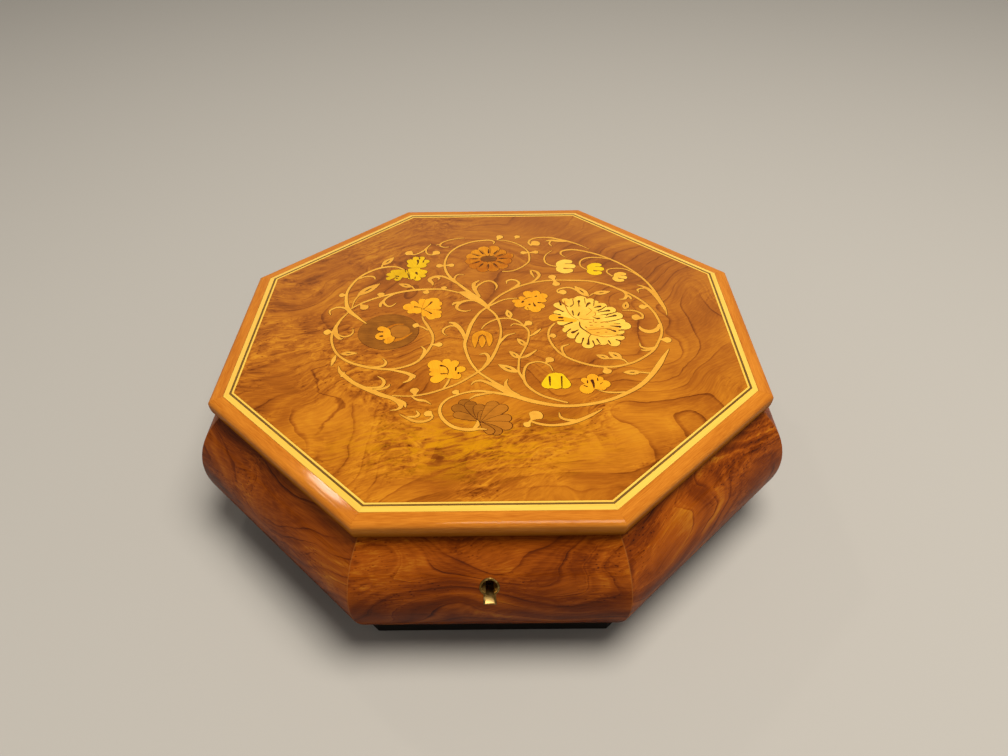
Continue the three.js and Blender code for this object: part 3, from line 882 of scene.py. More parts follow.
# Buds: where the stalk leaves the vine, the bud's middle and its radius
BUDS = (
    (-89.5, -2, -92, -2, 2.6), (-87, 36, -89.5, 36, 2.1), (-77.5, 26, -75, 23, 2.7),
    (-66, 33.5, -66.5, 36, 2.3), (-29, 41, -29, 42.5, 1.9), (-39, 41, -39.5, 38.5, 2.1),
    (-30, 68.5, -33, 68.5, 2.3), (-30, 69, -26, 69, 2), (23.5, 83.5, 20, 83.5, 2),
    (23.5, 83.5, 27.5, 84, 2), (38, 50, 37, 53.5, 2.5), (38, 50, 39, 46, 2.4), (3, 100.5, 4.5, 104, 2.4),
    (15, 102, 16, 104, 2), (91.5, 20.5, 88.5, 20, 2.4), (94, -12.5, 97, -13, 2.7),
    (60.5, -37, 61.5, -40, 2.5), (32.5, -8.5, 34, -8, 2.2), (29.5, -32.5, 31.5, -30, 2.5),
    (18.5, 2, 21, 4.5, 2.4), (-16, -58, -17.5, -56.5, 2), (-32.5, -15, -29, -15, 2.1),
    (-38.5, -58.5, -39, -55, 2.4), (-51, 82.5, -53.5, 84.5, 2.8), (-38.5, 82, -36.5, 84.5, 2.7),
    (-41, 3, -42.5, 3.5, 2.3), (25, 93, 27.5, 95, 3.4), (39.5, 36, 42, 36.5, 2.7), (86.5, 8, 83.5, 9, 3),
    (20.5, -78.5, 22.5, -75.5, 3.8), (20, -79.5, 18.5, -81.5, 2), (-28.5, -74.5, -30.5, -73, 2.3),
)
# Lobed flowers: wood, tone, joint, and the tip and width of each petal
FANS = (
    ("yellow", 0.1, (-48.5, 66.5), ((-53.5, 70.5, 4), (-53, 76.5, 4.6), (-49, 80, 4), (-44.5, 80, 4),
        (-40.5, 75.5, 4.2), (-41.5, 70, 4.4))),
    ("yellow", 0.2, (-52, 65), ((-49.5, 53, 4.6), (-45, 51.5, 4.4), (-41.5, 55.5, 4), (-40.5, 60.5, 4.6),
        (-45, 65, 3.4))),
    ("yellow", -0.3, (-54, 63.5), ((-53, 54.5, 4.4), (-59, 51.5, 4), (-65, 53, 3.6), (-65.5, 58, 3.6),
        (-63.5, 62, 4))),
    ("orange", 0.8, (-40, 20), ((-52, 23.5, 7), (-49, 17, 4), (-45, 16.5, 4.6), (-47.5, 28.5, 3.6),
        (-41.5, 31, 4.6))),
    ("orange", 0.9, (-40, 20), ((-37, 31, 4), (-32.5, 31.5, 7.4), (-29.5, 27, 5), (-29.5, 21.5, 4))),
    ("orange", 0.8, (-40, 20), ((-29, 16, 3.6), (-29.5, 11.5, 5), (-33.5, 9.5, 4.6), (-38, 12.5, 4))),
    ("orange", 0.55, (24.5, 27), ((20.5, 38, 5.6), (27, 38.5, 5), (32.5, 34.5, 6), (32.5, 28, 4), (30.5,
        20, 5), (26, 15.5, 6.6), (20.5, 18, 4.6), (13.5, 22.5, 6), (12, 27.5, 3.6), (16, 31.5, 3.6))),
    ("orange", 0.85, (-22.5, -41), ((-32.5, -30, 8), (-32.5, -37, 3.2), (-32.5, -41, 3.4), (-31, -47.5,
        6), (-24, -28, 4.6), (-18.5, -29.5, 4.8), (-13.5, -36, 5), (-15.5, -44, 5.6), (-20.5, -45, 4))),
    ("orange", 0.7, (53.5, -54), ((53.5, -42.5, 6), (48, -46, 4), (58, -45, 4), (62, -49.5, 6), (60,
        -53.5, 4.4), (46, -55.5, 8))),
)
# Dark slits in the lobed flowers: widths and points
SLITS = (
    ((1.6, 1, 0.4), ((-47.5, 75.5), (-47, 73), (-47.5, 70))),
    ((0.4, 1, 0.4), ((-46.5, 79), (-46.5, 76.5))), ((0.5, 0.9, 0.4), ((-43.5, 75.5), (-44, 72.5))),
    ((0.7, 1.6, 0.6), ((-47.5, 61.5), (-46.5, 58.5))),
    ((0.5, 0.8, 0.5), ((-52.5, 60), (-51.5, 56.5), (-50.5, 53.5))),
    ((0.5, 0.7, 0.4), ((-47.5, 56), (-47.5, 53))), ((1.1, 1.2), ((-59.5, 57), (-58, 56.5))),
    ((1, 1.1), ((-58.5, 54), (-59, 54.5))), ((0.5, 0.6, 0.4), ((-54.5, 65), (-54, 61.5))),
    ((0.3, 0.5, 1.4), ((-40, 20), (-37.5, 23.5), (-35.5, 27.5))),
    ((0.3, 0.5, 1.3), ((-40, 20), (-37, 17.5), (-35, 15.5))),
    ((0.3, 0.5, 1.3), ((-40, 20), (-42.5, 22), (-45, 22.5))), ((1.2, 1.4), ((18, 26), (18.5, 27))),
    ((1.2, 1.2), ((22, 23.5), (22.5, 24))), ((0.4, 0.9, 1.3), ((24.5, 25.5), (25, 23.5), (25.5, 22))),
    ((1.2, 1.2), ((27.5, 25.5), (28.5, 25.5))), ((1.2, 1.2), ((26, 32), (26.5, 32.5))),
    ((0.3, 0.6, 0.3), ((19, 28.5), (21, 30.5), (24, 31.5))), ((0.3, 0.5, 0.3), ((21, 21), (21.5, 18.5))),
    ((1.6, 0.6, 0.6, 0.3), ((-26.5, -34), (-24, -35), (-22.5, -38), (-22.5, -42))),
    ((1, 0.5), ((-26, -41), (-22.5, -41))), ((0.8, 1, 0.6), ((-18.5, -35.5), (-18.5, -38.5))),
    ((0.9, 1), ((-17, -40), (-17, -41))), ((1.8, 1.3, 0.4), ((53, -48), (53.5, -51), (53.5, -54.5))),
    ((0.7, 0.8), ((50.5, -48), (50.5, -50))), ((0.6, 0.9), ((48.5, -52), (50, -53))),
    ((0.8, 0.5), ((56, -48), (56, -46))), ((0.5, 0.3), ((57, -51), (58.5, -49.5))),
    ((1.2, 1.2, 0.5), ((31, -44.5), (31, -47), (31, -52))),
    ((1, 0.8, 0.5), ((37.3, -44.5), (37.2, -48), (37, -54))),
)
# The great cream flower's petals: tip and width, from the top to the right and round
CREAM_PETALS = (
    (52, 32, 7.6), (58.5, 29.5, 5), (61.8, 27, 3.2), (66, 24, 6), (71.5, 19, 6.6), (75.5, 12, 7),
    (76.5, 5.5, 4.2), (79, 0, 7.4), (74.5, -6, 3.8), (73.5, -12, 5.2), (69.5, -18, 6.6), (62.5, -17, 6),
    (58, -17, 3.6), (53, -20, 6.6), (48, -15, 4.4), (43.5, -10, 6.6), (40.5, -4, 5.6), (37.5, 4.5, 5),
    (33, 10.5, 7.4), (36.2, 16, 5), (37, 24.5, 5.4), (42.5, 29.5, 4.6), (47, 29.5, 4.8),
)
# Its dark dots and the slits between its petals: widths and points
CREAM_SLITS = (
    ((0.5, 0.5, 1.1), ((48, 29), (48, 23.5), (46.3, 21.2))),
    ((0.4, 0.6, 1.8), ((51.2, 20.5), (51.2, 24), (51.5, 26.7))), ((0.5, 0.4), ((55, 29.5), (55, 24))),
    ((1.9, 1.6, 0.5), ((57.4, 24.3), (56.6, 23.6), (55.2, 20.5))),
    ((0.6, 0.5), ((60.5, 27), (59.8, 21.5))), ((2, 1.4, 0.5), ((63.3, 20.7), (61.8, 20.4), (60, 19.6))),
    ((0.5, 1, 0.4), ((67, 21), (63.5, 17.5), (61, 16.5))),
    ((2, 1.3, 0.4), ((68, 16.3), (66.2, 16), (62, 14.8))),
    ((0.5, 1, 0.4), ((72.5, 14.8), (67.5, 12.8), (63, 12))),
    ((2, 1.3, 0.4), ((71.2, 11.2), (69.4, 10.6), (65, 9.2))),
    ((0.5, 0.9, 0.4), ((74.5, 8), (69, 5.8), (65.5, 5.5))),
    ((2, 1.3, 0.4), ((72.6, 0), (70.8, 0.4), (67.5, 1))), ((0.8, 0.5), ((73, 2.8), (70, 3))),
    ((1, 0.5), ((71.8, -3.4), (74, -4))), ((1.9, 1, 0.4), ((69.4, -4.2), (68, -3.2), (65, -2))),
    ((1, 0.5), ((73.5, -8.6), (70, -7.6))), ((1.1, 0.5), ((69.5, -12.3), (72, -14))),
    ((1, 0.5), ((65, -13.2), (66, -16.5))), ((1.1, 0.5), ((58.8, -11.5), (60.2, -16))),
    ((1, 0.5), ((56.3, -13.2), (57, -17))),
    ((2, 1.2, 0.5, 0.4), ((53.5, -16), (53.8, -14.6), (54.4, -10), (55.8, -7))),
    ((1.1, 0.5), ((51.3, -10.5), (50, -15.5))), ((1, 0.5), ((49, -5.5), (46.3, -11))),
    ((2.1, 1.6, 0.6), ((45.8, -4.9), (47, -4.2), (49, -2.5))), ((1.1, 0.5), ((44.7, -1.6), (41.5, -5.5))),
    ((1.4, 0.5), ((46, 4.9), (39.5, 1))), ((1.1, 0.4), ((41.2, 7), (36.5, 6.6))),
    ((1.9, 1.7), ((40.6, 9.6), (39, 9.8))), ((1.2, 0.4), ((39.6, 12.6), (36, 14))),
    ((1.3, 0.4), ((41.4, 16), (38, 18.8))), ((1.3, 0.4), ((40.6, 22.8), (40, 27.5))),
    ((1, 0.5), ((47, 16.5), (47.3, 11.8))), ((0.6, 1.1), ((51, 15), (50, 11.6))),
    ((0.5, 0.9, 0.5), ((50.4, 5.4), (50.7, 0), (56, -7))),
    ((1.6, 1.4, 0.4), ((61.7, 8.5), (60.6, 8.4), (58.6, 9.5))), ((0.8, 0.4), ((62.8, 17.5), (62, 15.5))),
    ((0.8, 0.4), ((67.3, 12.6), (66, 11))),
)
# Its folds, in a lighter brown
CREAM_FOLDS = (
    ((0.5, 0.6, 0.5, 0.4), ((43, 27), (43.3, 21), (45.6, 12.3), (50, 7))),
    ((0.4, 0.6, 0.4), ((50.5, 9), (53, 7.7), (58.4, 7.3))), ((0.5, 0.4), ((58.6, 7.3), (58, 5))),
    ((0.5, 0.7, 0.5), ((56, -7), (64, -9.6), (72.5, -7.8))),
    ((0.4, 0.4), ((56.4, 19.5), (58, 16.4), (54.6, 11.8))),
    ((0.5, 0.4), ((59.9, 15), (60, 12), (58, 10))), ((0.9, 0.8), ((56, 4.7), (57, 4.4))),
    ((0.9, 0.8), ((59, 4.8), (60, 4.5))), ((0.8, 0.9, 0.6), ((62.3, 4.2), (64.5, 5), (66.5, 4))),
    ((1, 0.8), ((56.2, 1.8), (57.4, 1.8))), ((1, 0.8), ((53.3, 0.2), (54, -0.6))),
    ((1, 0.8), ((62.5, 0.4), (63.5, 0.2))), ((0.8, 0.8), ((59.3, -5.4), (60.5, -5.2))),
    ((0.8, 0.8), ((64, -5.2), (65, -5))), ((0.5, 0.7, 0.5), ((55, -2.6), (60, -2), (68, -1.2))),
)
# A tulip that opens to the right, in shares of half its height: the widths and points of its three lobes
TULIP_LOBES = (
    ((0.5, 0.6, 0.64, 0.56), ((-0.3, -0.1), (-0.32, 0.4), (0.05, 0.72), (0.42, 0.7))),
    ((0.5, 0.6, 0.62), ((-0.2, 0.08), (0.25, 0.06), (0.6, 0.03))),
    ((0.5, 0.6, 0.64, 0.56), ((-0.3, -0.1), (-0.36, -0.45), (0, -0.72), (0.4, -0.62))),
)
# Its copies: wood, tone, middle, half height and turn in degrees
TULIPS = (
    ("cream", 0.3, (45, 66), 8, 0), ("yellow", 0.6, (63.5, 62.5), 7, -3),
    ("cream", -0.2, (78, 53), 5.6, -16),
)
# The two brown flowers at the front: wood, tone, root, and the tip and width of each petal
BROWN_FANS = (
    (
        "walnut", 0.3, (-5, -78),
        ((-14.5, -62.5, 6), (-18.5, -67, 6), (-18, -73, 5), (-11, -64, 6), (-5.5, -66, 6), (-2.5, -71, 5)),
    ),
    (
        "walnut", 0.9, (-4, -80.5),
        ((2.5, -64, 6.5), (8, -67, 6), (10.5, -76, 6), (11, -83, 6), (5.5, -88, 5.5), (1.5, -88, 4.5)),
    ),
)
# The bell's petals: root and tip
BELL = (((32.3, -44), (28.9, -54)), ((34.2, -43.5), (33.9, -54.6)), ((36.4, -44), (39.3, -54.2)))
# The orange bud like a drop in the middle: widths and points of its three petals
DROP = (
    ((3.4, 3.8, 3.4, 0.6), ((-5, -3.8), (-8.4, -6.5), (-9, -12), (-8.8, -18))),
    ((3.4, 3.8, 3.4, 0.6), ((-5, -3.8), (-1.6, -6.5), (-0.8, -12), (-1, -17))),
    ((1, 3.9, 3.4, 0.6), ((-4.9, -7.5), (-4.9, -11), (-4.9, -14.5), (-4.9, -18))),
)
# How far the dark joints lie to the right and the front of the parts, where the knife leaned
LEAN = (0.08, -0.1)
END_STEP = 0.5  # distance between the points round a part's end
SHARPEST = math.radians(70)  # how far one outline may turn


def swept(widths, points, step):
    """A smooth line through points as (x, y, width), about a step apart, its widths spread over it."""
    last = len(points) - 1
    ends = [Vector(p) for p in (points[0], *points, points[-1])]
    samples = []
    for i in range(last):
        before, start, end, after = ends[i : i + 4]
        parts = max(2, math.ceil((end - start).length / step))
        for k in range(parts + (i == last - 1)):
            t = k / parts
            bend = (2 * before - 5 * start + 4 * end - after) * t * t
            bend = bend + (3 * (start - end) + after - before) * t**3
            spot = start + ((end - before) * t + bend) / 2
            where = (i + t) / last * (len(widths) - 1)
            lower = min(int(where), len(widths) - 2)
            width = widths[lower] + (widths[lower + 1] - widths[lower]) * (where - lower)
            samples.append((spot.x, spot.y, width))
    return samples


def petal(root, tip, width, narrow=0.3):
    """A round-ended petal that widens from its root, as (x, y, width)."""
    root, tip = Vector(root), Vector(tip)
    way = tip - root
    end = tip - way.normalized() * min(width / 2, way.length * 0.6)
    samples = []
    for i in range(6):
        share = i / 5
        spot = root.lerp(end, share)
        samples.append((spot.x, spot.y, width * (narrow + (1 - narrow) * math.sin(share * math.pi / 2))))
    return samples


def pointed_leaf(base, tip, width):
    """A leaf with two pointed ends, as (x, y, width)."""
    shares = [i / 8 for i in range(9)]
    spots = [Vector(base).lerp(Vector(tip), t) for t in shares]
    return [(p.x, p.y, 0.3 + width * math.sin(math.pi * t**0.85) ** 0.9) for p, t in zip(spots, shares)]


def turned(points, middle, scale, degrees):
    """Points turned by an angle, scaled and moved to a middle."""
    turn = Matrix.Rotation(math.radians(degrees), 2)
    return [tuple(turn @ Vector(p) * scale + Vector(middle)) for p in points]


def simple_shapes(samples, grow=0.0, shift=(0, 0)):
    """The simple outlines, anticlockwise, that together cover a part drawn by its samples."""
    spots = [Vector((x, y)) + Vector(shift) for x, y, _ in samples]
    radii = [width / 2 + grow for _, _, width in samples]
    if len(spots) == 1:
        steps = max(12, round(radii[0] * 4))
        return [[spots[0] + Vector((math.cos(a), math.sin(a))) * radii[0] for a in rounds(steps)]]
    after = spots[1:] + spots[-1:]
    before = spots[:1] + spots[:-1]
    ways = [(b - a).normalized() for a, b in zip(before, after)]
    lefts = [Vector((-w.y, w.x)) * r for w, r in zip(ways, radii)]
    shapes = []
    first = 0
    while first < len(spots) - 1:
        last = first + 1
        while last < len(spots) - 1:
            if not all(fits(ways, spots, lefts, first, i) for i in range(first, last + 1)):
                break
            last += 1
        around = [spots[i] - lefts[i] for i in range(first, last + 1)]
        around += [spots[i] + lefts[i] for i in range(last, first - 1, -1)]
        if last == first + 1:
            shapes += [[around[0], around[1], around[2]], [around[0], around[2], around[3]]]
        else:
            shapes.append(around)
        first = last
    for spot, left, radius in ((spots[0], lefts[0], radii[0]), (spots[-1], -lefts[-1], radii[-1])):
        steps = max(3, round(math.pi * radius / END_STEP))
        shapes.append([spot + Matrix.Rotation(math.pi * i / steps, 2) @ left for i in range(steps + 1)])
    whole = [shape for shape in shapes if abs(signed_area(shape)) > 1e-4]
    return [shape if signed_area(shape) > 0 else shape[::-1] for shape in whole]


def fits(ways, spots, lefts, first, i):
    """Whether the stretch after sample i goes on from the first one without folding over."""
    a, b = spots[i] - lefts[i], spots[i + 1] - lefts[i + 1]
    c, d = spots[i + 1] + lefts[i + 1], spots[i] + lefts[i]
    halves = ([a, b, c], [a, c, d], [a, b, d], [b, c, d])
    return min(map(signed_area, halves)) > 1e-3 and ways[first].angle(ways[i + 1]) < SHARPEST


def rounds(steps):
    """Angles all the way round."""
    return [math.tau * i / steps for i in range(steps)]


def signed_area(shape):
    return sum(a.x * b.y - a.y * b.x for a, b in zip(shape, shape[1:] + shape[:1])) / 2


def edged(parts, joint):
    """Parts let in together: first the dark joint round each of them, then the parts themselves."""
    joints = [("walnut", -1, simple_shapes(samples, joint, LEAN)) for _, _, samples in parts]
    return joints + plain(parts)


def plain(parts):
    """Parts let in without a joint of their own."""
    return [(wood, tone, simple_shapes(samples)) for wood, tone, samples in parts]


def scrolls(joint, step, draw):
    """The vines with their leaves and buds, let in together, so that no joint runs where two of them meet."""
    parts = [("maple", draw.uniform(-0.2, 0.2), swept(widths, points, step)) for widths, points in VINES]
    slits = []
    for x, y, tip_x, tip_y, width in LEAVES:
        base, tip = Vector((x, y)), Vector((tip_x, tip_y))
        parts.append(("maple", draw.uniform(-0.3, 0.3), pointed_leaf(base, tip, width)))
        spots = [base.lerp(tip, t) for t in (0.32, 0.45, 0.62)]
        slits.append(("walnut", -0.9, [(*p, w * width) for p, w in zip(spots, (0.06, 0.2, 0.1))]))
    for stalk_x, stalk_y, x, y, radius in BUDS:
        stalk, middle = Vector((stalk_x, stalk_y)), Vector((x, y))
        end = middle + (middle - stalk).normalized() * 0.1
        half_way = stalk.lerp(middle, 0.5)
        samples = [(*stalk, 0.9), (*half_way, radius), (*middle, 2 * radius), (*end, 2 * radius)]
        parts.append(("maple", draw.uniform(0, 0.5), samples))
    return edged(parts, joint) + plain(slits)


def dark_disc(joint):
    """The walnut disc on the left, with the orange flower on it."""
    disc = [("walnut", 0.05, [(-58, -2, 34)])]
    heart = [("walnut", 0.75, [(-51.5, -1.8, 11.5)])]
    upper = ((-60, 0.5), (-57.5, 2.6), (-54.5, 4.8), (-50, 5))
    lower = ((-57.5, -10), (-54, -10.4), (-49.5, -8.8), (-44.5, -3.5))
    sprays = [("orange", -0.7, swept((1.6, 1.6, 1.1, 0.6), upper, 1))]
    sprays.append(("orange", -0.5, swept((3, 3, 1.8, 0.6), lower, 1)))
    flower = [
        ("orange", 0.5, swept((4.6, 4.2, 4), ((-62.3, 0.8), (-59.5, -1), (-58.3, -5)), 1)),
        ("orange", 0.6, swept((7.2, 6, 4.6), ((-61.4, -6.4), (-60, -6.2), (-57.5, -7.5)), 1)),
        ("orange", 0.35, swept((4.8, 4.8, 3.6), ((-57.3, -11.3), (-56.2, -9.6), (-55.5, -8.5)), 1)),
    ]
    eyes = [("walnut", -0.9, [(-62.2, -6.5, 1.2), (-61.2, -6.4, 1.7)])]
    eyes.append(("walnut", -0.6, [(-63.5, -2.2, 0.7), (-61.2, -2, 0.9)]))
    return edged(disc, joint) + plain(heart) + plain(sprays) + edged(flower, joint) + plain(eyes)


def daisy(joint, draw):
    """The orange daisy in its ring: broad petals round a dark oval, brightest at the upper left."""
    middle = Vector((-2.5, 76.5))
    petals = 12
    shapes = []
    slits = []
    for i in range(petals):
        turn = Matrix.Rotation(math.tau * (i + 0.5) / petals, 2)
        way = turn @ Vector((1, 0))
        tone = -0.8 + 0.75 * max(0, way.dot(Vector((-0.6, 0.8)))) + draw.uniform(-0.12, 0.12)
        samples = petal(middle + way * 4, middle + way * draw.uniform(14.6, 16.8), 7.6, 0.4)
        shapes += edged([("orange", tone, samples)], joint)
        slit = Matrix.Rotation(math.tau * i / petals, 2) @ Vector((1, 0))
        spots = [middle + slit * reach_out for reach_out in (6.8, 8.2, 12)]
        slits.append(("walnut", -0.8, [(*p, w) for p, w in zip(spots, (0.8, 1.4, 0.4))]))
    oval = [("walnut", -0.2, [(middle.x + x, middle.y, w) for x, w in ((-1.7, 6.6), (0, 7.4), (1.7, 6.6))])]
    return shapes + plain(slits) + edged(oval, joint)


def cream_flower(joint, draw):
    """The great cream flower on the right: notched petals round a lobed head and a half moon of scales."""
    middle = Vector((56, 6))
    parts = [("cream", 0.25, [(55.5, 5, 30)]), ("cream", 0.25, [(56, 10, 28), (56, 12, 28)])]
    for x, y, width in CREAM_PETALS:
        tip = Vector((x, y))
        warm = x < 34  # the one petal that is cut from a darker sheet
        samples = petal(middle.lerp(tip, 0.4), tip, width, 0.75)
        parts.append(("orange" if warm else "cream", 1 if warm else draw.uniform(0, 0.7), samples))
    half_moon = [("cream", -0.5, [(57, -3.6, 8), (68, -3.6, 9)]), ("cream", 0, [(61, 3, 6), (69, 2, 6)])]
    head = [(50.5, 8.5, 5), (54, 10.5, 6.5), (50.8, 15.8, 9.4), (57, 13, 6.8), (61.6, 9, 6)]
    lobes = [("cream", draw.uniform(-0.1, 0.3), [lobe]) for lobe in head]
    folds = [("walnut", 1, swept(widths, points, 1)) for widths, points in CREAM_FOLDS]
    slits = [("walnut", -0.8, swept(widths, points, 1)) for widths, points in CREAM_SLITS]
    return edged(parts, joint) + plain(half_moon + lobes + folds + slits)


def small_flowers(joint, draw):
    """The lobed flowers, the tulips, the bell and the drop-shaped bud."""
    shapes = []
    for wood, tone, root, tips in FANS:
        parts = [(wood, tone + draw.uniform(-0.15, 0.15), petal(root, (x, y), width)) for x, y, width in tips]
        shapes += edged(parts, joint)
    for wood, tone, middle, half, degrees in TULIPS:
        parts = []
        for widths, points in TULIP_LOBES:
            spots = turned(points, middle, half, degrees)
            parts.append((wood, tone, swept([w * half for w in widths], spots, 0.8)))
        shapes += edged(parts, joint)
    shapes += edged([("yellow", 0.7, petal(root, tip, 6.9, 0.7)) for root, tip in BELL], joint)
    shapes += edged([("orange", 0.1, swept(widths, points, 1)) for widths, points in DROP], joint)
    return shapes + plain([("walnut", -0.9, swept(widths, points, 1)) for widths, points in SLITS])


def brown_flowers(joint, draw):
    """The two flowers at the front, of wood nearly as brown as the veneer, which show by their joints."""
    shapes = []
    for wood, tone, root, tips in BROWN_FANS:
        for x, y, width in tips:
            shapes += edged([(wood, tone + draw.uniform(-0.3, 0.3), petal(root, (x, y), width))], joint * 1.5)
    return shapes


def picture(inlay):
    """Every shape of the picture as (wood, tone, outlines), from the lowest up."""
    draw = random.Random(inlay.seed)
    joint = inlay.joint / MM
    shapes = dark_disc(joint) + brown_flowers(joint, draw) + daisy(joint, draw)
    shapes += scrolls(joint, inlay.step / MM, draw)
    return shapes + small_flowers(joint, draw) + cream_flower(joint, draw)


def fitted(shapes, border):
    """Cuts flat shapes along each other, as an inlayer's knife does, out of the veneer inside the border.

    It gives the corners of all the cuts and, for each wood, its triangles with their tones. A later shape
    lies over an earlier one, and what none of them covers is the field.
    """
    corners = {}
    loops = []
    owners = []
    for number, outlines in enumerate([[border]] + [outlines for _, _, outlines in shapes]):
        for outline in outlines:
            places = [corners.setdefault((round(p.x, 3), round(p.y, 3)), len(corners)) for p in outline]
            loops.append([place for i, place in enumerate(places) if place != places[i - 1]])
            owners.append(number)
    inside = 1  # the kind of result that keeps the triangles inside the border
    points, _, triangles, _, _, origins = delaunay_2d_cdt(
        [Vector(corner) for corner in corners], [], loops, inside, 1e-5, True
    )
    woods = {}
    for triangle, origin in zip(triangles, origins):
        number = max(owners[face] for face in origin)
        wood, tone = shapes[number - 1][:2] if number else ("field", 0)
        woods.setdefault(wood, []).append((tuple(triangle), tone))
    return points, woods


# Stage


def aim(obj, target):
    """Turns a light so that it shines at a point."""
    direction = Vector(target) - obj.location
    obj.rotation_euler = direction.to_track_quat("-Z", "Y").to_euler()


def area_light(name, place, target, width, watts, tint):
    lamp = bpy.data.lights.new(name, "AREA")
    lamp.shape = "DISK"
    lamp.size = width
    lamp.energy = watts
    lamp.color = linear(tint)
    light = bpy.data.objects.new(name, lamp)
    light.location = place
    bpy.context.scene.collection.objects.link(light)
    aim(light, target)


class MusicBoxOperator:
    """What the operators share."""

    bl_options = {"REGISTER", "UNDO"}

    @property
    def settings(self):
        return bpy.context.scene.music_box


class MUSICBOX_OT_stage(MusicBoxOperator, bpy.types.Operator):
    """Set the camera, the pale floor and the soft studio lights"""

    bl_idname = "music_box.stage"
    bl_label = "Stage"

    def execute(self, context):
        scene = context.scene
        camera_data = bpy.data.cameras.new("camera")
        camera_data.lens = 30
        camera_data.sensor_width = 36
        camera = bpy.data.objects.new("camera", camera_data)
        yaw, down, roll = (math.radians(a) for a in (-0.448, 38.73, -0.925))
        place = Matrix.Translation((0.0098, -0.3884, 0.3633))
        upright = Matrix.Rotation(-yaw, 4, "Z") @ Matrix.Rotation(math.pi / 2 - down, 4, "X")
        camera.matrix_world = place @ upright @ Matrix.Rotation(roll, 4, "Z")
        scene.collection.objects.link(camera)
        scene.camera = camera

        floor_half = 6
        corners = [(x * floor_half, y * floor_half, 0) for x, y in ((-1, -1), (1, -1), (1, 1), (-1, 1))]
        floor = new_piece("floor", mesh_from("floor", corners, [(0, 1, 2, 3)]))
        material, _, shader = principled("matt_floor")
        shader.inputs["Base Color"].default_value = (*self.settings.finish.floor, 1)
        shader.inputs["Roughness"].default_value = 0.9
        floor.data.materials.append(material)

        world = bpy.data.worlds.new("room")
        world.use_nodes = True
        room = world.node_tree
        sky = room.nodes["Background"]
        sky.inputs["Color"].default_value = (*linear("#fff4e4"), 1)
        # Pale walls up to about 30 degrees and a dim ceiling
        upward = add(room, "ShaderNodeSeparateXYZ", {0: add(room, "ShaderNodeTexCoord").outputs["Object"]})
        walls = {"Value": upward.outputs["Z"], "From Min": 0.35, "From Max": 0.75}
        walls.update({"To Min": 0.5, "To Max": 0.07})
        glow = add(room, "ShaderNodeMapRange", walls, interpolation_type="SMOOTHSTEP")
        room.links.new(glow.outputs[0], sky.inputs["Strength"])
        scene.world = world
        scene.view_settings.view_transform = "Standard"
        area_light("ceiling_panel", (0.32, -0.24, 1.68), (0, 0, 0), 1.0, 31, "#fff3e0")
        area_light("lamp", (-0.6, 0.77, 1.303), (-0.072, -0.122, 0.088), 0.1, 1.1, "#fff0d8")
        return {"FINISHED"}


class MUSICBOX_OT_base(MusicBoxOperator, bpy.types.Operator):
    """Make the black base board under the staves"""

    bl_idname = "music_box.base"
    bl_label = "Base board"

    def execute(self, context):
        case = self.settings.case
        corners = [Matrix.Rotation(TURN * (i + 0.5), 3, "Z") @ Vector((0, -1, 0)) for i in range(len(SIDES))]
        radius = case.base_out / math.cos(TURN / 2)
        points = [(c * radius)[:2] + (z,) for z in (0, case.base_top) for c in corners]
        eight = len(SIDES)
        faces = [(i, (i + 1) % eight, eight + (i + 1) % eight, eight + i) for i in range(eight)]
        faces += [tuple(reversed(range(eight))), tuple(range(eight, 2 * eight))]
        piece = new_piece("base", mesh_from("base", points, faces))
        bevel = piece.modifiers.new("broken_edges", "BEVEL")
        bevel.width = case.base_bevel
        bevel.segments = 3
        settle(piece)
        shade(piece.data)
        piece.data.materials.append(near_black_board(self.settings.finish))
        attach(piece, "root")
        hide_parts("base_board")
        return {"FINISHED"}


def bulge_arc(case):
    """The arc of the staves' outside: half its height, its middle's height, its radius and how far out its
    centre lies.
    """
    half = (case.top - case.foot) / 2
    bulge = case.bulge_out - case.rim_out
    radius = (half**2 + bulge**2) / (2 * bulge)
    return half, (case.foot + case.top) / 2, radius, case.bulge_out - radius


def stave_section(case):
    """A stave's section: an arc outside from foot to rim, edges rounded, and a flat inside."""
    half, middle, radius, centre = bulge_arc(case)
    short_of_edges = 0.992
    swing = math.asin(half / radius) * short_of_edges
    points = [(case.rim_in, case.foot)]
    tuck = case.edge_round
    points.append((case.rim_out - tuck, case.foot))
    for i in range(case.bulge_steps + 1):
        angle = swing * (2 * i / case.bulge_steps - 1)
        points.append((centre + radius * math.cos(angle), middle + radius * math.sin(angle)))
    points.append((case.rim_out - tuck, case.top))
    points.append((case.rim_in, case.top))
    return points


class MUSICBOX_OT_walls(MusicBoxOperator, bpy.types.Operator):
    """Make the seven plain staves of the case"""

    bl_idname = "music_box.walls"
    bl_label = "Staves"

    def execute(self, context):
        case = self.settings.case
        soft_from = case.rim_in + SAME
        section = stave_section(case)
        bar = mitred_bar("staves", section, case.joint, case.corner_round, soft_from, case.corner_steps)
        piece = ring_of("staves", bar, stave_burl(self.settings.finish), first=1)
        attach(piece, "root")
        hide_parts(*all_round("wall")[1:])
        return {"FINISHED"}


def keyhole_outline(keyhole, radius, drop, grow, height):
    """The keyhole's outline in x and z, anticlockwise from the slot's right foot."""
    neck = keyhole.neck / 2 + grow
    foot = keyhole.foot / 2 + grow
    start = -math.acos(neck / (radius + grow))
    angles = [start + (math.pi - 2 * start) * i / keyhole.steps for i in range(keyhole.steps + 1)]
    points = [(foot, height - drop - grow)]
    points += [((radius + grow) * math.cos(a), height + (radius + grow) * math.sin(a)) for a in angles]
    points.append((-foot, height - drop - grow))
    return points


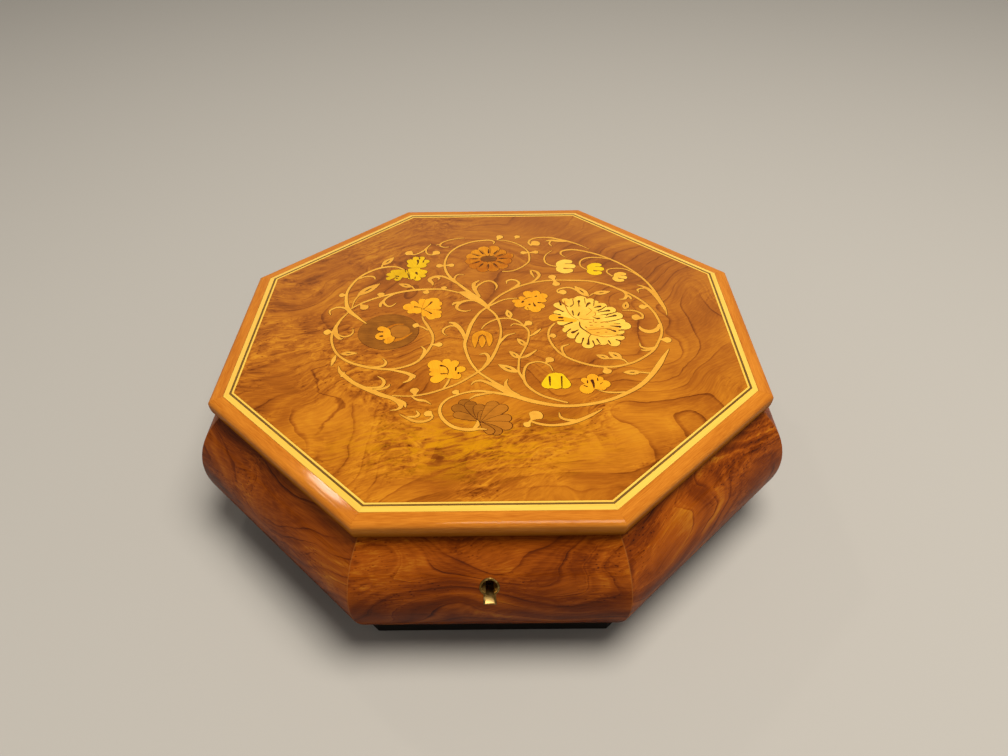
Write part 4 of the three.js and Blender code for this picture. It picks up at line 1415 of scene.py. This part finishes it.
def keyhole_sizes(keyhole):
    """The round part's radius and height, and its drop to the slot's foot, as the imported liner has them."""
    radius = (liner_high[0] - liner_low[0]) / 2 - keyhole.wall
    height = liner_high[2] - radius - keyhole.wall
    drop = height - liner_low[2] - keyhole.wall
    return radius, drop, height


class MUSICBOX_OT_front_wall(MusicBoxOperator, bpy.types.Operator):
    """Make the front stave, with its keyhole and the pocket for the lock"""

    bl_idname = "music_box.front_wall"
    bl_label = "Front stave"

    def execute(self, context):
        case = self.settings.case
        keyhole = self.settings.keyhole
        soft_from = case.rim_in + SAME
        near_keyhole = (-1, -0.5, -0.2, -0.1, 0, 0.1, 0.2, 0.5, 1)
        section = stave_section(case)
        bar = mitred_bar(
            "front_stave", section, case.joint, case.corner_round, soft_from, case.corner_steps, near_keyhole
        )
        side = bar.attributes.new("side", "FLOAT", "POINT")
        side.data.foreach_set("value", [0.0] * len(bar.vertices))
        bar.materials.append(bpy.data.materials["stave_burl_veneer"])
        piece = new_piece("front_stave", bar)
        radius, drop, height = keyhole_sizes(keyhole)
        past = 5 * MM
        outline = keyhole_outline(keyhole, radius, drop, keyhole.wall + keyhole.fit, height)
        cut(piece, prism("keyway", outline, case.rim_in - past, case.bulge_out + past))
        half = lock_high[0] + keyhole.proud
        pocket = [(-half, lock_low[2] - keyhole.proud), (half, lock_low[2] - keyhole.proud)]
        pocket += [(half, case.top + past), (-half, case.top + past)]
        cut(piece, prism("pocket", pocket, case.rim_in - past, -lock_low[1] + keyhole.proud))
        shade(piece.data)
        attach(piece, "root")
        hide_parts("wall_front")
        return {"FINISHED"}


class MUSICBOX_OT_keyhole(MusicBoxOperator, bpy.types.Operator):
    """Make the brass liner of the keyhole, and finish the lock behind it"""

    bl_idname = "music_box.keyhole"
    bl_label = "Keyhole liner and lock"

    def execute(self, context):
        case = self.settings.case
        keyhole = self.settings.keyhole
        radius, drop, height = keyhole_sizes(keyhole)
        _, middle, bend, centre = bulge_arc(case)
        back = -liner_high[1]
        lip = keyhole.lip
        rounds = [(0, None), (0, lip), (lip * 0.3, lip * 0.3), (lip, 0)]
        rounds += [(keyhole.wall - lip, 0), (keyhole.wall - lip * 0.3, lip * 0.3), (keyhole.wall, lip)]
        rounds.append((keyhole.wall, None))
        points = []
        for grow, sink in rounds:
            for x, z in keyhole_outline(keyhole, radius, drop, grow, height):
                face = centre + math.sqrt(bend**2 - (z - middle) ** 2) + keyhole.proud
                points.append((x, -(back if sink is None else face - sink), z))
        around = len(points) // len(rounds)
        faces = []
        for ring in range(len(rounds)):
            after = (ring + 1) % len(rounds)
            for i in range(around):
                j = (i + 1) % around
                faces.append((ring * around + i, ring * around + j, after * around + j, after * around + i))
        mesh = mesh_from("keyhole_brass", points, faces)
        in_bore = [1] * around + [0] * (len(faces) - around)
        mesh.attributes.new("rubbed_and_lit", "FLOAT", "FACE").data.foreach_set("value", in_bore)
        weld(mesh)
        shade(mesh)
        piece = new_piece("keyhole_brass", mesh)
        finish = self.settings.finish
        piece.data.materials.append(aged_metal("aged_brass", finish.brass, finish.brass_dull, 0.25))
        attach(piece, "root")
        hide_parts("keyhole_liner")
        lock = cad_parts["lock_case"]
        lock.data.materials.clear()
        lock.data.materials.append(aged_metal("aged_iron", finish.steel, finish.steel_dull, 0.4))
        return {"FINISHED"}


class MUSICBOX_OT_moulding(MusicBoxOperator, bpy.types.Operator):
    """Make the eight mitred lengths of the lid's mahogany moulding"""

    bl_idname = "music_box.moulding"
    bl_label = "Lid moulding"

    def execute(self, context):
        lid = self.settings.lid
        finish = self.settings.finish
        steps = lid.mould_steps
        height = lid.nose_height
        inner = lid.mould_in - lid.band_trim
        eased = lid.top - lid.band_fall
        under = quarter((lid.foot_out, height), lid.nose_out - lid.foot_out, height - lid.foot, 3, steps)
        rise = eased - lid.mould_fall - height
        over = quarter((lid.flat_out, height), lid.nose_out - lid.flat_out, rise, 0, steps)
        section = [(inner, lid.foot)] + under + over[1:] + [(inner, eased)]
        soft_from = lid.mould_in + lid.corner_round
        bar = mitred_bar("moulding", section, lid.joint, lid.corner_round, soft_from, lid.corner_steps)
        wood = moulding_wood(finish, lid.foot / MM, lid.top / MM - 0.6)
        piece = ring_of("moulding", bar, wood)
        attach(piece, "root")
        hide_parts(*all_round("lid_moulding"))
        return {"FINISHED"}


class MUSICBOX_OT_banding(MusicBoxOperator, bpy.types.Operator):
    """Make the wide band, the dark line and the light line of the lid's banding"""

    bl_idname = "music_box.banding"
    bl_label = "Banding"

    def execute(self, context):
        finish = self.settings.finish
        lid = self.settings.lid
        light = straight_wood("maple_banding", finish.banding_dark, finish.banding, 0.35, 14, 0.8)
        dark = straight_wood("dark_stained_line", finish.line_dark, finish.line, 0.3, 10, 0.8)
        for name, node, wood, slot in (
            ("wide_band", "lid_wide_band", light, "light_banding"),
            ("dark_line", "lid_dark_line", dark, "dark_line"),
            ("light_line", "lid_light_line", light, "light_banding"),
        ):
            low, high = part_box(f"{node}_front")
            inner, outer = -high[1], -low[1] + lid.joint
            edge = high[2]
            if name == "wide_band":
                outer -= lid.band_trim
                edge -= lid.band_fall
            section = [(inner, low[2]), (outer, low[2]), (outer, edge), (inner, high[2])]
            piece = ring_of(name, mitred_bar(name, section, lid.joint), wood)
            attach(piece, "root")
            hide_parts(*all_round(node))
        return {"FINISHED"}


def slab(name, points, cuts, low, high):
    """A closed flat piece of veneer between two heights, from triangles in millimetres with their tones."""
    used = sorted({i for triangle, _ in cuts for i in triangle})
    number = {old: new for new, old in enumerate(used)}
    flat = len(used)
    places = [(points[i].x * MM, points[i].y * MM, z) for z in (high, low) for i in used]
    tops = [tuple(number[i] for i in triangle) for triangle, _ in cuts]
    tones = [tone for _, tone in cuts]
    edge_tones = {}
    for triangle, tone in zip(tops, tones):
        for a, b in zip(triangle, triangle[1:] + triangle[:1]):
            edge_tones[a, b] = tone
    rim = [(a, b) for a, b in edge_tones if (b, a) not in edge_tones]
    faces = tops + [tuple(i + flat for i in reversed(triangle)) for triangle in tops]
    faces += [(a + flat, b + flat, b, a) for a, b in rim]
    mesh = mesh_from(name, places, faces)
    all_tones = tones + tones + [edge_tones[edge] for edge in rim]
    mesh.attributes.new("tone", "FLOAT", "FACE").data.foreach_set("value", [(t + 1) / 2 for t in all_tones])
    return mesh


class MUSICBOX_OT_lid_top(MusicBoxOperator, bpy.types.Operator):
    """Make the lid's burl veneer with the picture let into it, and finish the board under it"""

    bl_idname = "music_box.lid_top"
    bl_label = "Lid veneer and picture"

    def execute(self, context):
        finish = self.settings.finish
        inlay = self.settings.inlay
        low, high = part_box("lid_veneer")
        out = high[0] / MM
        radius = out / math.cos(TURN / 2)
        corners = [TURN * (i + 0.5) for i in range(len(SIDES))]
        border = [Vector((radius * math.cos(a), radius * math.sin(a))) for a in corners]
        points, woods = fitted(picture(inlay), border)
        if set(woods) != {"field", "maple", "yellow", "cream", "orange", "walnut"}:
            raise RuntimeError("a wood of the picture is missing")
        materials = {
            "field": lid_burl(finish),
            "maple": inlay_wood("maple_inlay", finish.maple_dark, finish.maple, 20),
            "yellow": inlay_wood("dyed_yellow_inlay", finish.yellow_dark, finish.yellow, 65),
            "cream": inlay_wood("boxwood_inlay", finish.cream_dark, finish.cream, -35),
            "orange": inlay_wood("dyed_orange_inlay", finish.orange_dark, finish.orange, 80),
            "walnut": inlay_wood("walnut_inlay", finish.walnut_dark, finish.walnut, 5),
        }
        for wood, cuts in woods.items():
            name = "lid_field" if wood == "field" else f"{wood}_inlay"
            piece = new_piece(name, slab(name, points, cuts, low[2], high[2]))
            piece.data.materials.append(materials[wood])
            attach(piece, "root")
            if wood == "field":
                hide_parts("lid_veneer")
        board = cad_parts["lid_board"]
        board.data.materials.clear()
        board.data.materials.append(bare_board(finish))
        return {"FINISHED"}


OPERATORS = (
    MUSICBOX_OT_stage,
    MUSICBOX_OT_base,
    MUSICBOX_OT_walls,
    MUSICBOX_OT_front_wall,
    MUSICBOX_OT_keyhole,
    MUSICBOX_OT_moulding,
    MUSICBOX_OT_banding,
    MUSICBOX_OT_lid_top,
)


class MUSICBOX_PT_panel(bpy.types.Panel):
    """Lists the steps that build the music box"""

    bl_idname = "MUSICBOX_PT_panel"
    bl_label = "Music Box"
    bl_space_type = "VIEW_3D"
    bl_region_type = "UI"
    bl_category = "Music Box"

    def draw(self, context):
        for operator in OPERATORS:
            self.layout.operator(operator.bl_idname)


CLASSES = (
    MUSICBOX_PG_case,
    MUSICBOX_PG_keyhole,
    MUSICBOX_PG_lid,
    MUSICBOX_PG_inlay,
    MUSICBOX_PG_finish,
    MUSICBOX_PG_settings,
    *OPERATORS,
    MUSICBOX_PT_panel,
)


def register():
    for cls in CLASSES:
        bpy.utils.register_class(cls)
    bpy.types.Scene.music_box = bpy.props.PointerProperty(type=MUSICBOX_PG_settings)


def unregister():
    del bpy.types.Scene.music_box
    for cls in reversed(CLASSES):
        bpy.utils.unregister_class(cls)


def main():
    """Builds the box."""
    register()
    for operator in OPERATORS:
        group, name = operator.bl_idname.split(".")
        getattr(getattr(bpy.ops, group), name)()


if __name__ == "__main__":
    main()
